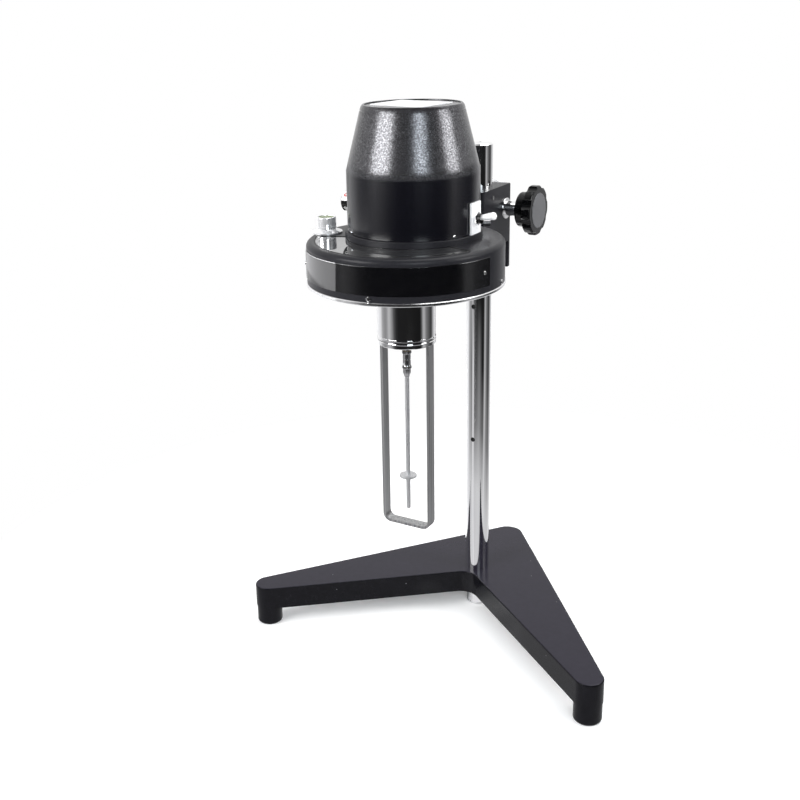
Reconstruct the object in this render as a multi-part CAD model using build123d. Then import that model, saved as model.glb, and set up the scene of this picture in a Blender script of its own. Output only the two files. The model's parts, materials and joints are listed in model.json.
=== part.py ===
"""Rotational viscometer on a three-point stand, in millimetres.

The origin is the middle of the levelling foot's underside, on the axis of the column.
+Z is up and -Y is the front, where the measuring head hangs over the open side of the base.
"""

import os
from math import cos, pi, radians, sin, sqrt, tan

from build123d import *

os.makedirs("parts", exist_ok=True)

# ---------------------------------------------------------------- sizes
running_gap = 0.05            # radial play of shafts and slides
seat_gap = 0.2                # between pieces that lie next to each other

# base casting
base_bottom = 16.0            # underside of the casting above the bench
casting_height = 19.0
base_top = base_bottom + casting_height
front_foot_x = 140.8
front_foot_y = -113.3
leg_end_radius = 11.0
front_foot_inset = 0.5
front_foot_radius = leg_end_radius - front_foot_inset
front_foot_rounding = 2.5
outer_edge_angle = 37.5       # of a leg's outer edge, from the front direction
inner_edge_angle = 50.9       # of a leg's inner edge, from the front direction
rear_corner_radius = 12.85
inner_corner_radius = 14.0
casting_wall = 6.0
casting_roof = 7.0
casting_edge_rounding = 1.2
column_boss_radius = 16.0
rear_rib_y = 38.0
rib_width = 5.0

# column and rack
column_radius = 10.0
column_length = 362.0         # above the casting
column_top = base_top + column_length
column_shoulder = 1.0
column_thread_radius = column_radius - column_shoulder
column_thread_length = 15.0
column_thread_bottom = base_top - column_thread_length
column_top_chamfer = 1.0
rack_slot_width = 6.0
rack_slot_depth = 6.0
rack_slot_floor = column_radius - rack_slot_depth
rack_length = 256.0
rack_top_drop = 0.6
rack_top = column_top - rack_top_drop
rack_bottom = rack_top - rack_length
rack_screw_inset = 14.0
rack_screw_zs = (rack_bottom + rack_screw_inset, (rack_bottom + rack_top) / 2, rack_top - rack_screw_inset)
rack_screw_head_radius = 1.7
rack_screw_shank_radius = 1.1
rack_screw_sink = 3.6
rack_screw_seat = rack_screw_sink - column_radius

# levelling screw
level_screw_radius = 4.0
level_foot_radius = 8.5
level_foot_height = 12.0
level_screw_length = 22.0     # above its foot
level_screw_top = level_foot_height + level_screw_length
level_foot_grooves = 24

# lift gear
lift_module = 1.0
pinion_teeth = 12
tooth_share = 0.44            # thickness of a tooth over the pitch
flank_angle = 20.0
rack_addendum = 0.65
rack_dedendum = 1.15
pinion_addendum = 0.75
pinion_dedendum = 0.95
pinion_radius = lift_module * pinion_teeth / 2
rack_line_depth = 2.0         # pitch line of the rack below the column's surface
pinion_y = column_radius - rack_line_depth + pinion_radius
pinion_side_gap = 0.3
pinion_half_length = rack_slot_width / 2 - pinion_side_gap
pinion_room_start = -5.0
knob_shaft_start = 6.0
knob_shaft_radius = 4.4
journal_radius = 4.0
journal_end = -12.0
pinion_tip_gap = 0.45          # so that the pinion goes in through the bush's bore
bush_radius = pinion_radius + pinion_addendum + pinion_tip_gap
bush_flange_width = 1.0
bush_flange_radius = bush_radius + bush_flange_width
bush_flange_thickness = 1.5
bush_nose_radius = 5.8        # the bright collar between the clamp and the knob
bush_nose_gap = 0.6            # between the collar and the knob

# clamp
clamp_bottom = 317.5          # height of the lift carriage
clamp_height = 46.0
clamp_top = clamp_bottom + clamp_height
clamp_half_width = 15.75
clamp_front_depth = 17.0
clamp_front = -column_radius - clamp_front_depth
clamp_back_depth = 11.0
clamp_back = column_radius + clamp_back_depth
pinion_height = 27.5          # above the clamp's underside
pinion_z = clamp_bottom + pinion_height
rear_plate_thickness = 2.5
rear_plate_back = clamp_back + rear_plate_thickness
rear_plate_drop = 21.5
rear_plate_bottom = clamp_bottom - rear_plate_drop
rear_screw_inset = 4.25
rear_screw_x = clamp_half_width - rear_screw_inset
rear_screw_low_inset = 5.5
rear_screw_high_inset = 6.5
rear_screw_zs = (clamp_bottom + rear_screw_low_inset, clamp_top - rear_screw_high_inset)
rear_screw_radius = 2.0
rear_screw_head_radius = 3.6
rear_screw_depth = 11.0
tension_drop = 4.5
tension_z = clamp_top - tension_drop
tension_stud_radius = 2.0
tension_knob_radius = 6.5
tension_knob_length = 12.5
tension_knob_gap = 2.0
tension_knob_front = rear_plate_back + tension_knob_gap
tension_knob_back = tension_knob_front + tension_knob_length
shoe_half_width = 6.0
shoe_half_height = 3.0
shoe_thickness = 3.8
shoe_back = column_radius + shoe_thickness
guide_screw_y = -9.4
guide_screw_drop = 6.8
guide_screw_z = clamp_top - guide_screw_drop
guide_screw_radius = 1.6
lock_screw_radius = 3.0
lock_screw_inset = 7.0
lock_screw_y = clamp_front + lock_screw_inset

# lift knob
knob_gap = 11.25              # between the bush and the knob
knob_hub_radius = 13.6
knob_hub_length = 7.8
knob_hub_start = clamp_half_width + bush_flange_thickness + knob_gap
knob_head_start = knob_hub_start + knob_hub_length
knob_head_length = 7.4
knob_head_end = knob_head_start + knob_head_length
knob_head_radius = 19.3
knob_lobes = 8
knob_scallop_radius = 6.0
knob_scallop_offset = 3.7
knob_scallop_reach = knob_head_radius + knob_scallop_offset
knob_insert_radius = 13.6
knob_insert_recess = 1.0

# head
head_y = -122.0               # axis of the spindle
handle_height = 13.5          # above the clamp's underside
handle_z = clamp_bottom + handle_height
housing_radius = 69.0
housing_wall = 4.0
housing_height = 28.8
housing_drop = 13.8           # underside of the housing below the handle's axis
housing_bottom = handle_z - housing_drop
deck_top = housing_bottom + housing_height
deck_thickness = 3.0
lip_rounding = 3.6
bottom_plate_edge = 0.5
bottom_plate_radius = housing_radius + bottom_plate_edge
bottom_plate_thickness = 2.4
bottom_plate_bottom = housing_bottom - bottom_plate_thickness
bottom_plate_bore = 8.0
deck_bore = 26.0
window_half_angle = 72.0
window_margin = 6.0
window_outer_radius = housing_radius - window_margin
window_inner_radius = 34.5
window_ledge = 2.0
window_thickness = 2.0
strip_thickness = 0.6
strip_seat = 0.15
strip_height = 19.0
strip_height_above = 4.6       # above the housing's lower edge
strip_bottom = housing_bottom + strip_height_above
strip_top = strip_bottom + strip_height
strip_left_angle = -58.0
strip_right_angle = 81.5
strip_screw_left_inset = 3.5
strip_screw_right_inset = 4.8
strip_screw_angles = (strip_left_angle + strip_screw_left_inset, strip_right_angle - strip_screw_right_inset)
strip_screw_z = (strip_bottom + strip_top) / 2
strip_screw_radius = 1.3
rim_screw_angle = 8.0
rim_screw_height = 2.4
rim_screw_z = housing_bottom + rim_screw_height
rim_screw_radius = 1.8

# cover over the gears
cover_offset = 12.6           # cover's axis behind the spindle's
cover_y = head_y + cover_offset
cover_radius = 46.4
cover_wall = 2.5
cover_wall_height = 42.0
cover_cone_height = 44.2
ring_height = 4.3
ring_top = deck_top + ring_height
ring_step = 1.8
ring_radius = cover_radius + ring_step
ring_width = 7.2
ring_inner_radius = ring_radius - ring_width
cover_bottom = ring_top + seat_gap
cover_break = cover_bottom + cover_wall_height
cover_top = cover_break + cover_cone_height
cover_top_radius = 35.2
cover_groove_drop = 3.4
cover_groove_height = 1.1
cover_groove_depth = 0.7
cover_top_recess = 0.7
cover_rim_width = 2.2
cover_screw_angles = (63.5, -38.4, 153.5, -128.4)
cover_screw_radius = 1.1
top_plate_width = 45.0
top_plate_depth = 36.0
top_plate_turn = -9.0
top_plate_thickness = 0.5
top_plate_x = -2.0
top_plate_offset = 1.9
top_plate_y = cover_y + top_plate_offset

# switch on the +X side of the cover
switch_offset = 0.4
switch_height = 10.5
switch_y = cover_y + switch_offset
switch_z = cover_bottom + switch_height
switch_plate_width = 14.4
switch_plate_height = 22.0
switch_plate_gap = 0.1
switch_plate_inner = cover_radius + switch_plate_gap
switch_plate_thickness = 1.4
switch_body_depth = 15.0
switch_body_gap = 0.9
switch_body_end = cover_radius - cover_wall - switch_body_gap
switch_body_start = switch_body_end - switch_body_depth
switch_body_width = 12.0
switch_body_height = 17.0
switch_bush_radius = 3.5
switch_bush_bore = 3.0
switch_bush_length = 4.2        # outside the plate
switch_bush_end = switch_plate_inner + switch_plate_thickness + switch_bush_length
toggle_pivot_depth = 0.7
toggle_pivot_x = switch_plate_inner + switch_plate_thickness - toggle_pivot_depth
toggle_tilt = 10.0
toggle_length = 15.6
toggle_root_radius = 1.6
toggle_tip_radius = 2.7

# speed knob on the -X side of the cover
speed_knob_offset = 0.4
speed_knob_height = 15.7
speed_knob_y = cover_y + speed_knob_offset
speed_knob_z = cover_bottom + speed_knob_height
speed_knob_radius = 7.2
speed_knob_length = 8.2
speed_knob_gap = 1.2
speed_knob_start = -cover_radius - speed_knob_gap
speed_knob_end = speed_knob_start - speed_knob_length
speed_shaft_radius = 2.0
speed_knob_grooves = 16

# pointer lock lever
lock_lever_angle = 24.0       # from +X towards +Y, about the cover's axis
lock_lever_height = 3.5
lock_lever_z = cover_bottom + lock_lever_height
lock_lever_radius = 1.3
lock_lever_tip_radius = 2.2
lock_lever_length = 7.2         # outside the cover
lock_lever_reach = cover_radius + lock_lever_length
lock_slot_half_width = 5.0
lock_slot_half_height = 1.9

# level
level_flange_radius = 11.6
level_gap = 4.0                # between the level and the cover's ring
level_offset = 5.5             # in front of the spindle's axis
level_y = head_y - level_offset
level_distance = ring_radius + level_gap + level_flange_radius
level_x = -sqrt(level_distance ** 2 - (cover_y - level_y) ** 2)
level_flange_height = 1.5
level_cup_radius = 7.2
level_cup_height = 11.5
level_cup_top = deck_top + level_cup_height
level_glass_radius = 5.7
level_glass_thickness = 1.6
level_bubble_depth = 6.0

# handle rod between the head and the clamp
handle_radius = 7.0
handle_end_wall = 2.0          # of the clamp, between the socket and the column
handle_socket_end = -column_radius - handle_end_wall
handle_end_gap = 0.4
handle_end = handle_socket_end - handle_end_gap
handle_collar_radius = 11.0
handle_collar_length = 4.0

# sleeve, guard and spindle
sleeve_radius = 21.0
sleeve_wall = 2.6
sleeve_inner_radius = sleeve_radius - sleeve_wall
sleeve_length = 40.5
sleeve_bottom = bottom_plate_bottom - sleeve_length
guard_turn_gap = 0.3
guard_ring_height = 3.2
guard_ring_top = sleeve_bottom - guard_turn_gap
guard_ring_bottom = guard_ring_top - guard_ring_height
guard_spigot_height = 6.0
guard_spigot_top = guard_ring_top + guard_spigot_height
guard_spigot_wall = 2.9
guard_ring_inner = sleeve_inner_radius - guard_spigot_wall
spigot_top_gap = 1.5
bush_plate_bottom = guard_spigot_top + spigot_top_gap
bush_plate_thickness = 3.5
bush_hub_radius = 5.0
bush_hub_height = 7.0
guard_inset = 1.3
guard_half_width = sleeve_radius - guard_inset
guard_length = 143.2          # below the guard's ring
guard_bottom = guard_ring_bottom - guard_length
guard_band = 2.0
guard_depth = 8.0
guard_corner_radius = 6.5
spindle_radius = 2.0
pivot_radius = 1.5
coupling_drop = 6.4           # top of the coupling below the guard's ring
coupling_length = 20.0
coupling_top = guard_ring_bottom - coupling_drop
coupling_bottom = coupling_top - coupling_length
coupling_taper = 3.2
coupling_shoulder = coupling_bottom + coupling_taper
coupling_radius = 2.9
coupling_collar_height = 0.5   # of the knurled collars over the body
coupling_collar_radius = coupling_radius + coupling_collar_height
coupling_spindle_depth = 4.0
coupling_bore_depth = 8.0
rotor_rod_radius = 1.6
rotor_rod_length = 104.1      # below the coupling
rotor_tip = coupling_bottom - rotor_rod_length
rotor_disc_height = 25.7      # above the rod's tip
rotor_disc_z = rotor_tip + rotor_disc_height
rotor_disc_radius = 6.35
rotor_disc_thickness = 1.65
immersion_height = 53.7       # above the rod's tip
immersion_groove_z = rotor_tip + immersion_height

# dial and gear train
dial_edge_gap = 5.0
dial_radius = housing_radius - housing_wall - dial_edge_gap
dial_depth = 8.0              # underside of the dial below the deck
dial_bottom = deck_top - dial_depth
dial_thickness = 1.2
dial_top = dial_bottom + dial_thickness
dial_bore = 7.0
pointer_gap = 1.5
pointer_bottom = dial_top + pointer_gap
pointer_thickness = 0.8
pointer_tip_inset = 4.0
pointer_reach = dial_radius - pointer_tip_inset
pointer_tail = 13.0
collet_radius = 3.0
carrier_bar_gap = 2.0          # above the deck
carrier_bar_bottom = deck_top + carrier_bar_gap
carrier_bar_thickness = 3.0
carrier_bar_half_width = 4.0
carrier_bar_tail = 9.0
carrier_hub_radius = 6.0
carrier_post_radius = 20.0
carrier_post_width = 6.0
carrier_post_angle = -30.0    # from the front
pivot_depth = 2.0              # of the spindle's pivot in the carrier
spindle_top = carrier_bar_bottom + pivot_depth
spring_collet_gap = 0.5
spring_inner_radius = collet_radius + spring_collet_gap
spring_post_gap = 0.4
spring_outer_radius = carrier_post_radius - carrier_post_width / 2 - spring_post_gap
spring_turns = 2.5
spring_height = 1.6
spring_bar_gap = 2.0
spring_bottom = carrier_bar_bottom - spring_height - spring_bar_gap
spring_thickness = 0.35
train_module = 0.8
dial_gear_teeth = 45
idler_pinion_teeth = 15
idler_wheel_teeth = 40
motor_pinion_teeth = 12
train_addendum = 0.55
train_dedendum = 0.8
idler_direction = 150.0
motor_direction = 12.0
gear_plate_x = -7.0
gear_plate_offset = 2.6
gear_plate_y = cover_y - gear_plate_offset
gear_plate_wall_gap = 9.9
gear_plate_radius = cover_radius - cover_wall - gear_plate_wall_gap
gear_plate_thickness = 2.0
gear_plate_spacing = 17.0
lower_plate_gap = 2.0
lower_plate_bottom = carrier_bar_bottom + carrier_bar_thickness + lower_plate_gap
upper_plate_bottom = lower_plate_bottom + gear_plate_thickness + gear_plate_spacing
arbor_radius = 3.0
arbor_end = 1.5                # of the arbors in the gear plates
arbor_top = upper_plate_bottom + arbor_end
dial_gear_gap = 2.0
dial_gear_bottom = lower_plate_bottom + gear_plate_thickness + dial_gear_gap
dial_gear_thickness = 4.0
idler_pinion_length = 6.0
idler_wheel_bottom = dial_gear_bottom + idler_pinion_length
idler_wheel_thickness = 3.0
idler_arbor_radius = 2.0
idler_arbor_bottom = lower_plate_bottom - arbor_end
motor_pinion_overlap = 0.6     # of the pinion below the wheel it drives
motor_pinion_bottom = idler_wheel_bottom - motor_pinion_overlap
motor_pinion_length = 4.6
motor_pinion_top = motor_pinion_bottom + motor_pinion_length
motor_shaft_radius = 1.5
pillar_radius = 2.6
pillar_inset = 4.6
pillar_angles = (24.0, 113.0, 219.6)
motor_radius = 25.0
motor_height = 24.0


# ---------------------------------------------------------------- helpers
def upright(radius, z0, z1, x=0.0, y=0.0):
    return Pos(x, y, (z0 + z1) / 2) * Cylinder(radius, z1 - z0)


def along_x(radius, x0, x1, y, z):
    return Pos((x0 + x1) / 2, y, z) * Rot(0, 90, 0) * Cylinder(radius, abs(x1 - x0))


def along_y(radius, y0, y1, x, z):
    return Pos(x, (y0 + y1) / 2, z) * Rot(90, 0, 0) * Cylinder(radius, abs(y1 - y0))


def box_between(x0, x1, y0, y1, z0, z1):
    middle = Pos((x0 + x1) / 2, (y0 + y1) / 2, (z0 + z1) / 2)
    return middle * Box(x1 - x0, y1 - y0, z1 - z0)


def turned(points, x=0.0, y=0.0):
    """A turned piece from (radius, height) points, its axis upright at x, y."""
    profile = Plane.XZ * make_face(Polyline(*points, close=True))
    return Pos(x, y, 0) * revolve(profile, Axis.Z)


def around_front(angle, radius, centre_y=head_y):
    """The point at an angle from the front direction, towards +X."""
    return radius * sin(radians(angle)), centre_y - radius * cos(radians(angle))


def sector(radius, angle_from, angle_to, z0, z1):
    """A pie slice about the spindle's axis; angles from the front towards +X."""
    corners = [(0.0, head_y)]
    steps = 6
    reach = radius / cos(radians((angle_to - angle_from) / steps / 2))
    for step in range(steps + 1):
        angle = angle_from + (angle_to - angle_from) * step / steps
        corners.append(around_front(angle, reach))
    slab = Pos(0, 0, z0) * extrude(make_face(Polyline(*corners, close=True)), amount=z1 - z0)
    return slab & upright(radius, z0, z1, 0, head_y)


def gear(module, teeth, phase, addendum, dedendum, thickness):
    """A spur gear with straight flanks, one tooth centred at the phase angle."""
    pitch_radius = module * teeth / 2
    tip_radius = pitch_radius + addendum
    root_radius = pitch_radius - dedendum
    half_pitch = tooth_share * pi * module / 2
    half_tip = half_pitch - addendum * tan(radians(flank_angle))
    half_root = half_pitch + dedendum * tan(radians(flank_angle)) / 2
    points = []
    for tooth in range(teeth):
        middle = radians(phase) + 2 * pi * tooth / teeth
        for radius, half in (
            (root_radius, -half_root),
            (tip_radius, -half_tip),
            (tip_radius, half_tip),
            (root_radius, half_root),
        ):
            angle = middle + half / radius
            points.append((radius * cos(angle), radius * sin(angle)))
    return extrude(make_face(Polyline(*points, close=True)), amount=thickness)


def save(shape, name):
    export_step(shape, "parts/" + name + ".step")


# ---------------------------------------------------------------- base casting
def base_outline(inset):
    """The open V of the base, drawn with tangent lines and arcs."""
    outer = radians(outer_edge_angle)
    inner = radians(inner_edge_angle)
    end_radius = leg_end_radius - inset
    rear_radius = rear_corner_radius - inset
    notch_radius = inner_corner_radius + inset
    outer_line = front_foot_x * cos(outer) + front_foot_y * sin(outer) + leg_end_radius
    rear_y = (outer_line - rear_corner_radius) / sin(outer)
    inner_line = -front_foot_x * cos(inner) - front_foot_y * sin(inner) + leg_end_radius
    notch_y = -(inner_corner_radius + inner_line) / sin(inner)
    end_middle = radians((outer_edge_angle + inner_edge_angle - 180.0) / 2)
    rear_tangent = (rear_radius * cos(outer), rear_y + rear_radius * sin(outer))
    outer_tangent = (front_foot_x + end_radius * cos(outer), front_foot_y + end_radius * sin(outer))
    leg_end = (
        front_foot_x + end_radius * cos(end_middle),
        front_foot_y + end_radius * sin(end_middle),
    )
    inner_tangent = (front_foot_x - end_radius * cos(inner), front_foot_y - end_radius * sin(inner))
    notch_tangent = (notch_radius * cos(inner), notch_y + notch_radius * sin(inner))

    def left(point):
        return -point[0], point[1]

    with BuildSketch() as sketch:
        with BuildLine():
            ThreePointArc(left(rear_tangent), (0, rear_y + rear_radius), rear_tangent)
            Line(rear_tangent, outer_tangent)
            ThreePointArc(outer_tangent, leg_end, inner_tangent)
            Line(inner_tangent, notch_tangent)
            ThreePointArc(notch_tangent, (0, notch_y + notch_radius), left(notch_tangent))
            Line(left(notch_tangent), left(inner_tangent))
            ThreePointArc(left(inner_tangent), left(leg_end), left(outer_tangent))
            Line(left(outer_tangent), left(rear_tangent))
        make_face()
    return sketch.sketch


def slab(outline, z0, z1):
    return Pos(0, 0, z0) * extrude(outline, amount=z1 - z0)


plate = slab(base_outline(0), base_bottom, base_top)
plate = fillet(plate.faces().sort_by(Axis.Z)[-1].edges(), casting_edge_rounding)
hollow = slab(base_outline(casting_wall), base_bottom - 1, base_top - casting_roof)
hollow -= upright(column_boss_radius, base_bottom - 2, base_top)
rib_reach = front_foot_x
hollow -= box_between(-rib_reach, rib_reach, rear_rib_y, rear_rib_y + rib_width, base_bottom - 2, base_top)
base = plate
for side in (-1, 1):
    hollow -= upright(leg_end_radius, base_bottom - 2, base_top, side * front_foot_x, front_foot_y)
base -= hollow
for side in (-1, 1):
    foot = upright(front_foot_radius, 0, base_bottom + 2, side * front_foot_x, front_foot_y)
    foot = fillet(foot.edges().sort_by(Axis.Z)[0], front_foot_rounding)
    base += foot
base -= upright(column_thread_radius, column_thread_bottom, base_top + 1)
base -= upright(level_screw_radius + 0.6, base_bottom - 1, column_thread_bottom + 1)
save(base, "base_casting")

# ---------------------------------------------------------------- column and rack
column = upright(column_radius, base_top, column_top)
column = chamfer(column.edges().sort_by(Axis.Z)[-1], column_top_chamfer)
column += upright(column_thread_radius, column_thread_bottom + seat_gap, base_top)
column -= box_between(
    -rack_slot_width / 2,
    rack_slot_width / 2,
    rack_slot_floor,
    column_radius + 1,
    rack_bottom - 0.4,
    column_top + 1,
)
column -= upright(level_screw_radius + running_gap, column_thread_bottom - 1, level_screw_top + 6)
rack_screws = Part()
pitch_line = pinion_y - pinion_radius
rack_root = pitch_line - rack_dedendum
rack_tip = pitch_line + rack_addendum
rack_screw_end = rack_root - 0.6
for z in rack_screw_zs:
    column -= along_y(rack_screw_head_radius + 0.2, -column_radius - 1, rack_screw_seat, 0, z)
    column -= along_y(rack_screw_shank_radius, rack_screw_seat - 1, rack_slot_floor + 1, 0, z)
    rack_screws += along_y(rack_screw_head_radius, rack_screw_seat - 2.2, rack_screw_seat, 0, z)
    rack_screws += along_y(rack_screw_shank_radius, rack_screw_seat - 1, rack_screw_end, 0, z)
save(column, "column_rod")

rack_pitch = pi * lift_module
half_tooth = tooth_share * rack_pitch / 2
slope = tan(radians(flank_angle))
first_tooth = int((rack_bottom - pinion_z) / rack_pitch) + 1
last_tooth = int((rack_top - pinion_z) / rack_pitch) - 1
rack_points = [(rack_slot_floor, rack_bottom), (rack_root, rack_bottom)]
for tooth in range(first_tooth, last_tooth + 1):
    middle = pinion_z + (tooth + 0.5) * rack_pitch
    half_root = half_tooth + rack_dedendum * slope
    half_tip = half_tooth - rack_addendum * slope
    rack_points.append((rack_root, middle - half_root))
    rack_points.append((rack_tip, middle - half_tip))
    rack_points.append((rack_tip, middle + half_tip))
    rack_points.append((rack_root, middle + half_root))
rack_points.append((rack_root, rack_top))
rack_points.append((rack_slot_floor, rack_top))
rack_width = rack_slot_width - 2 * running_gap
rack = Plane.YZ * extrude(make_face(Polyline(*rack_points, close=True)), amount=rack_width)
rack = Pos(-rack_width / 2, 0, 0) * rack
for z in rack_screw_zs:
    rack -= along_y(rack_screw_shank_radius, rack_slot_floor - 1, rack_screw_end, 0, z)
save(rack, "column_rack")
save(rack_screws, "rack_screws")

# ---------------------------------------------------------------- levelling screw
level_foot = upright(level_foot_radius, 0, level_foot_height)
level_foot = chamfer(level_foot.edges(), 0.8)
for groove in range(level_foot_grooves):
    angle = 360.0 * groove / level_foot_grooves
    cut = box_between(level_foot_radius - 0.5, level_foot_radius + 1, -0.35, 0.35, 2.0, level_foot_height + 1)
    level_foot -= Rot(0, 0, angle) * cut
level_foot += upright(level_screw_radius, level_foot_height - 1, level_screw_top)
save(level_foot, "levelling_screw")

# ---------------------------------------------------------------- clamp
pinion_bore = along_x(
    bush_radius, pinion_room_start, clamp_half_width + 1, pinion_y, pinion_z
)
column_bore = upright(column_radius + running_gap, rear_plate_bottom - 1, clamp_top + 1)
clamp = box_between(
    -clamp_half_width, clamp_half_width, clamp_front, clamp_back, clamp_bottom, clamp_top
)
clamp = fillet(clamp.edges().filter_by(Axis.Z).sort_by(Axis.Y)[:2], 1.5)
clamp -= column_bore
clamp -= pinion_bore
clamp -= along_x(journal_radius + running_gap, journal_end - 0.5, 0, pinion_y, pinion_z)
clamp -= along_y(handle_radius + running_gap, clamp_front - 1, handle_socket_end, 0, handle_z)
shoe_pocket_gap = 0.1
clamp -= box_between(
    -shoe_half_width - shoe_pocket_gap,
    shoe_half_width + shoe_pocket_gap,
    0,
    shoe_back + shoe_pocket_gap,
    tension_z - shoe_half_height - shoe_pocket_gap,
    tension_z + shoe_half_height + shoe_pocket_gap,
)
clamp -= along_y(tension_stud_radius + running_gap, shoe_back - 1, rear_plate_back + 1, 0, tension_z)
clamp -= upright(lock_screw_radius, clamp_bottom - 1, handle_z - handle_radius + 1, 0, lock_screw_y)
guide_screw_start = clamp_half_width - 4.0
clamp -= along_x(guide_screw_radius, guide_screw_start, clamp_half_width + 1, guide_screw_y, guide_screw_z)

rear_plate = box_between(
    -clamp_half_width, clamp_half_width, clamp_back, rear_plate_back, rear_plate_bottom, clamp_top
)
rear_plate = fillet(rear_plate.edges().filter_by(Axis.Y), 1.0)
rear_plate -= pinion_bore
rear_plate -= along_y(tension_stud_radius + running_gap, clamp_back - 1, rear_plate_back + 1, 0, tension_z)

rear_screws = Part()
for side in (-1, 1):
    for z in rear_screw_zs:
        x = side * rear_screw_x
        head_sink = rear_screw_head_radius - rear_screw_radius
        cone = Pos(x, rear_plate_back - head_sink / 2, z) * Rot(-90, 0, 0)
        cone *= Cone(rear_screw_radius, rear_screw_head_radius, head_sink)
        shank_end = rear_plate_back - rear_screw_depth
        shank = along_y(rear_screw_radius, shank_end, rear_plate_back - head_sink, x, z)
        screw = cone + shank
        clamp -= screw
        rear_plate -= screw
        slot = box_between(x - 2.6, x + 2.6, rear_plate_back - 0.7, rear_plate_back + 1, z - 0.35, z + 0.35)
        rear_screws += screw - slot
save(clamp, "clamp_block")
save(rear_plate, "clamp_rear_plate")
save(rear_screws, "rear_plate_screws")

bush = along_x(bush_radius, knob_shaft_start + 0.5, clamp_half_width, pinion_y, pinion_z)
bush_outer = clamp_half_width + bush_flange_thickness
flange = along_x(bush_flange_radius, clamp_half_width, bush_outer, pinion_y, pinion_z)
flange = fillet(flange.edges().sort_by(Axis.X)[-1], 0.6)
bush += flange
bush += along_x(bush_nose_radius, bush_outer - 0.5, knob_hub_start - bush_nose_gap, pinion_y, pinion_z)
bush -= along_x(knob_shaft_radius + running_gap, 0, knob_hub_start + 1, pinion_y, pinion_z)
bush -= column_bore
save(bush, "pinion_bush")

shoe = box_between(
    -shoe_half_width,
    shoe_half_width,
    3.0,
    shoe_back,
    tension_z - shoe_half_height,
    tension_z + shoe_half_height,
)
shoe -= upright(column_radius + running_gap, clamp_bottom, clamp_top)
save(shoe, "friction_shoe")

lock_screw = upright(lock_screw_radius, clamp_bottom + 0.4, handle_z - handle_radius - 0.3, 0, lock_screw_y)
lock_screw -= Pos(0, lock_screw_y, clamp_bottom + 2) * extrude(RegularPolygon(1.7, 6), amount=-4)
save(lock_screw, "handle_lock_screw")

guide_screw = along_x(
    guide_screw_radius, guide_screw_start, clamp_half_width + 0.4, guide_screw_y, guide_screw_z
)
save(guide_screw, "guide_screw")

# ---------------------------------------------------------------- lift knob and pinion
pinion = gear(lift_module, pinion_teeth, 90.0, pinion_addendum, pinion_dedendum, 2 * pinion_half_length)
pinion = Pos(-pinion_half_length, pinion_y, pinion_z) * Rot(0, 90, 0) * pinion
knob_shaft_end = knob_head_end - 4.0
pinion_shaft = pinion
pinion_shaft += along_x(journal_radius, journal_end, knob_shaft_start + 1, pinion_y, pinion_z)
pinion_shaft += along_x(knob_shaft_radius, knob_shaft_start, knob_shaft_end, pinion_y, pinion_z)
save(pinion_shaft, "pinion_shaft")

knob = along_x(knob_hub_radius, knob_hub_start, knob_head_start + 1, pinion_y, pinion_z)
knob = fillet(knob.edges().sort_by(Axis.X)[0], 1.5)
knob_head = along_x(knob_head_radius, knob_head_start, knob_head_end, pinion_y, pinion_z)
knob_head = fillet(knob_head.edges(), 1.6)
for lobe in range(knob_lobes):
    angle = 2 * pi * (lobe + 0.5) / knob_lobes
    knob_head -= along_x(
        knob_scallop_radius,
        knob_head_start - 1,
        knob_head_end + 1,
        pinion_y + knob_scallop_reach * cos(angle),
        pinion_z + knob_scallop_reach * sin(angle),
    )
knob += knob_head
knob -= along_x(
    knob_insert_radius + 0.1, knob_head_end - knob_insert_recess, knob_head_end + 1, pinion_y, pinion_z
)
knob -= along_x(knob_shaft_radius, knob_hub_start - 1, knob_shaft_end, pinion_y, pinion_z)
save(knob, "lift_knob")

insert = along_x(
    knob_insert_radius, knob_head_end - knob_insert_recess, knob_head_end + 0.5, pinion_y, pinion_z
)
insert = fillet(insert.edges().sort_by(Axis.X)[-1], 0.5)
save(insert, "knob_insert")

# ---------------------------------------------------------------- tension knob
tension = along_y(tension_knob_radius, tension_knob_front, tension_knob_back, 0, tension_z)
tension = fillet(tension.edges().sort_by(Axis.Y)[-1], 4.5)
for groove in range(20):
    angle = 360.0 * groove / 20
    cut = box_between(tension_knob_radius - 0.4, tension_knob_radius + 1, -0.3, 0.3, -5.0, 1.5)
    place = Pos(0, tension_knob_front + 5.0, tension_z) * Rot(-90, 0, 0) * Rot(0, 0, angle)
    tension -= place * cut
tension += along_y(tension_stud_radius, shoe_back + 0.1, tension_knob_front + 1, 0, tension_z)
save(tension, "tension_knob")

# ---------------------------------------------------------------- head housing
deck_bottom = deck_top - deck_thickness
housing = upright(housing_radius, housing_bottom, deck_top, 0, head_y)
housing = fillet(housing.edges().sort_by(Axis.Z)[-1], lip_rounding)
housing -= upright(housing_radius - housing_wall, housing_bottom - 1, deck_bottom, 0, head_y)
housing -= upright(deck_bore, deck_bottom - 1, deck_top + 1, 0, head_y)
opening_angle = window_half_angle - 2.0
opening = sector(
    window_outer_radius - window_ledge, -opening_angle, opening_angle, deck_bottom - 1, deck_top + 1
)
opening -= upright(window_inner_radius + window_ledge, deck_bottom - 2, deck_top + 2, 0, head_y)
housing -= opening
window = sector(
    window_outer_radius, -window_half_angle, window_half_angle, deck_top - window_thickness, deck_top
)
window -= upright(window_inner_radius, deck_bottom - 2, deck_top + 2, 0, head_y)
housing -= window
housing -= along_y(handle_radius, head_y, head_y + housing_radius + 2, 0, handle_z)
save(housing, "housing_shell")
save(window & upright(housing_radius, 0, deck_top - 0.2, 0, head_y), "window")

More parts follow.
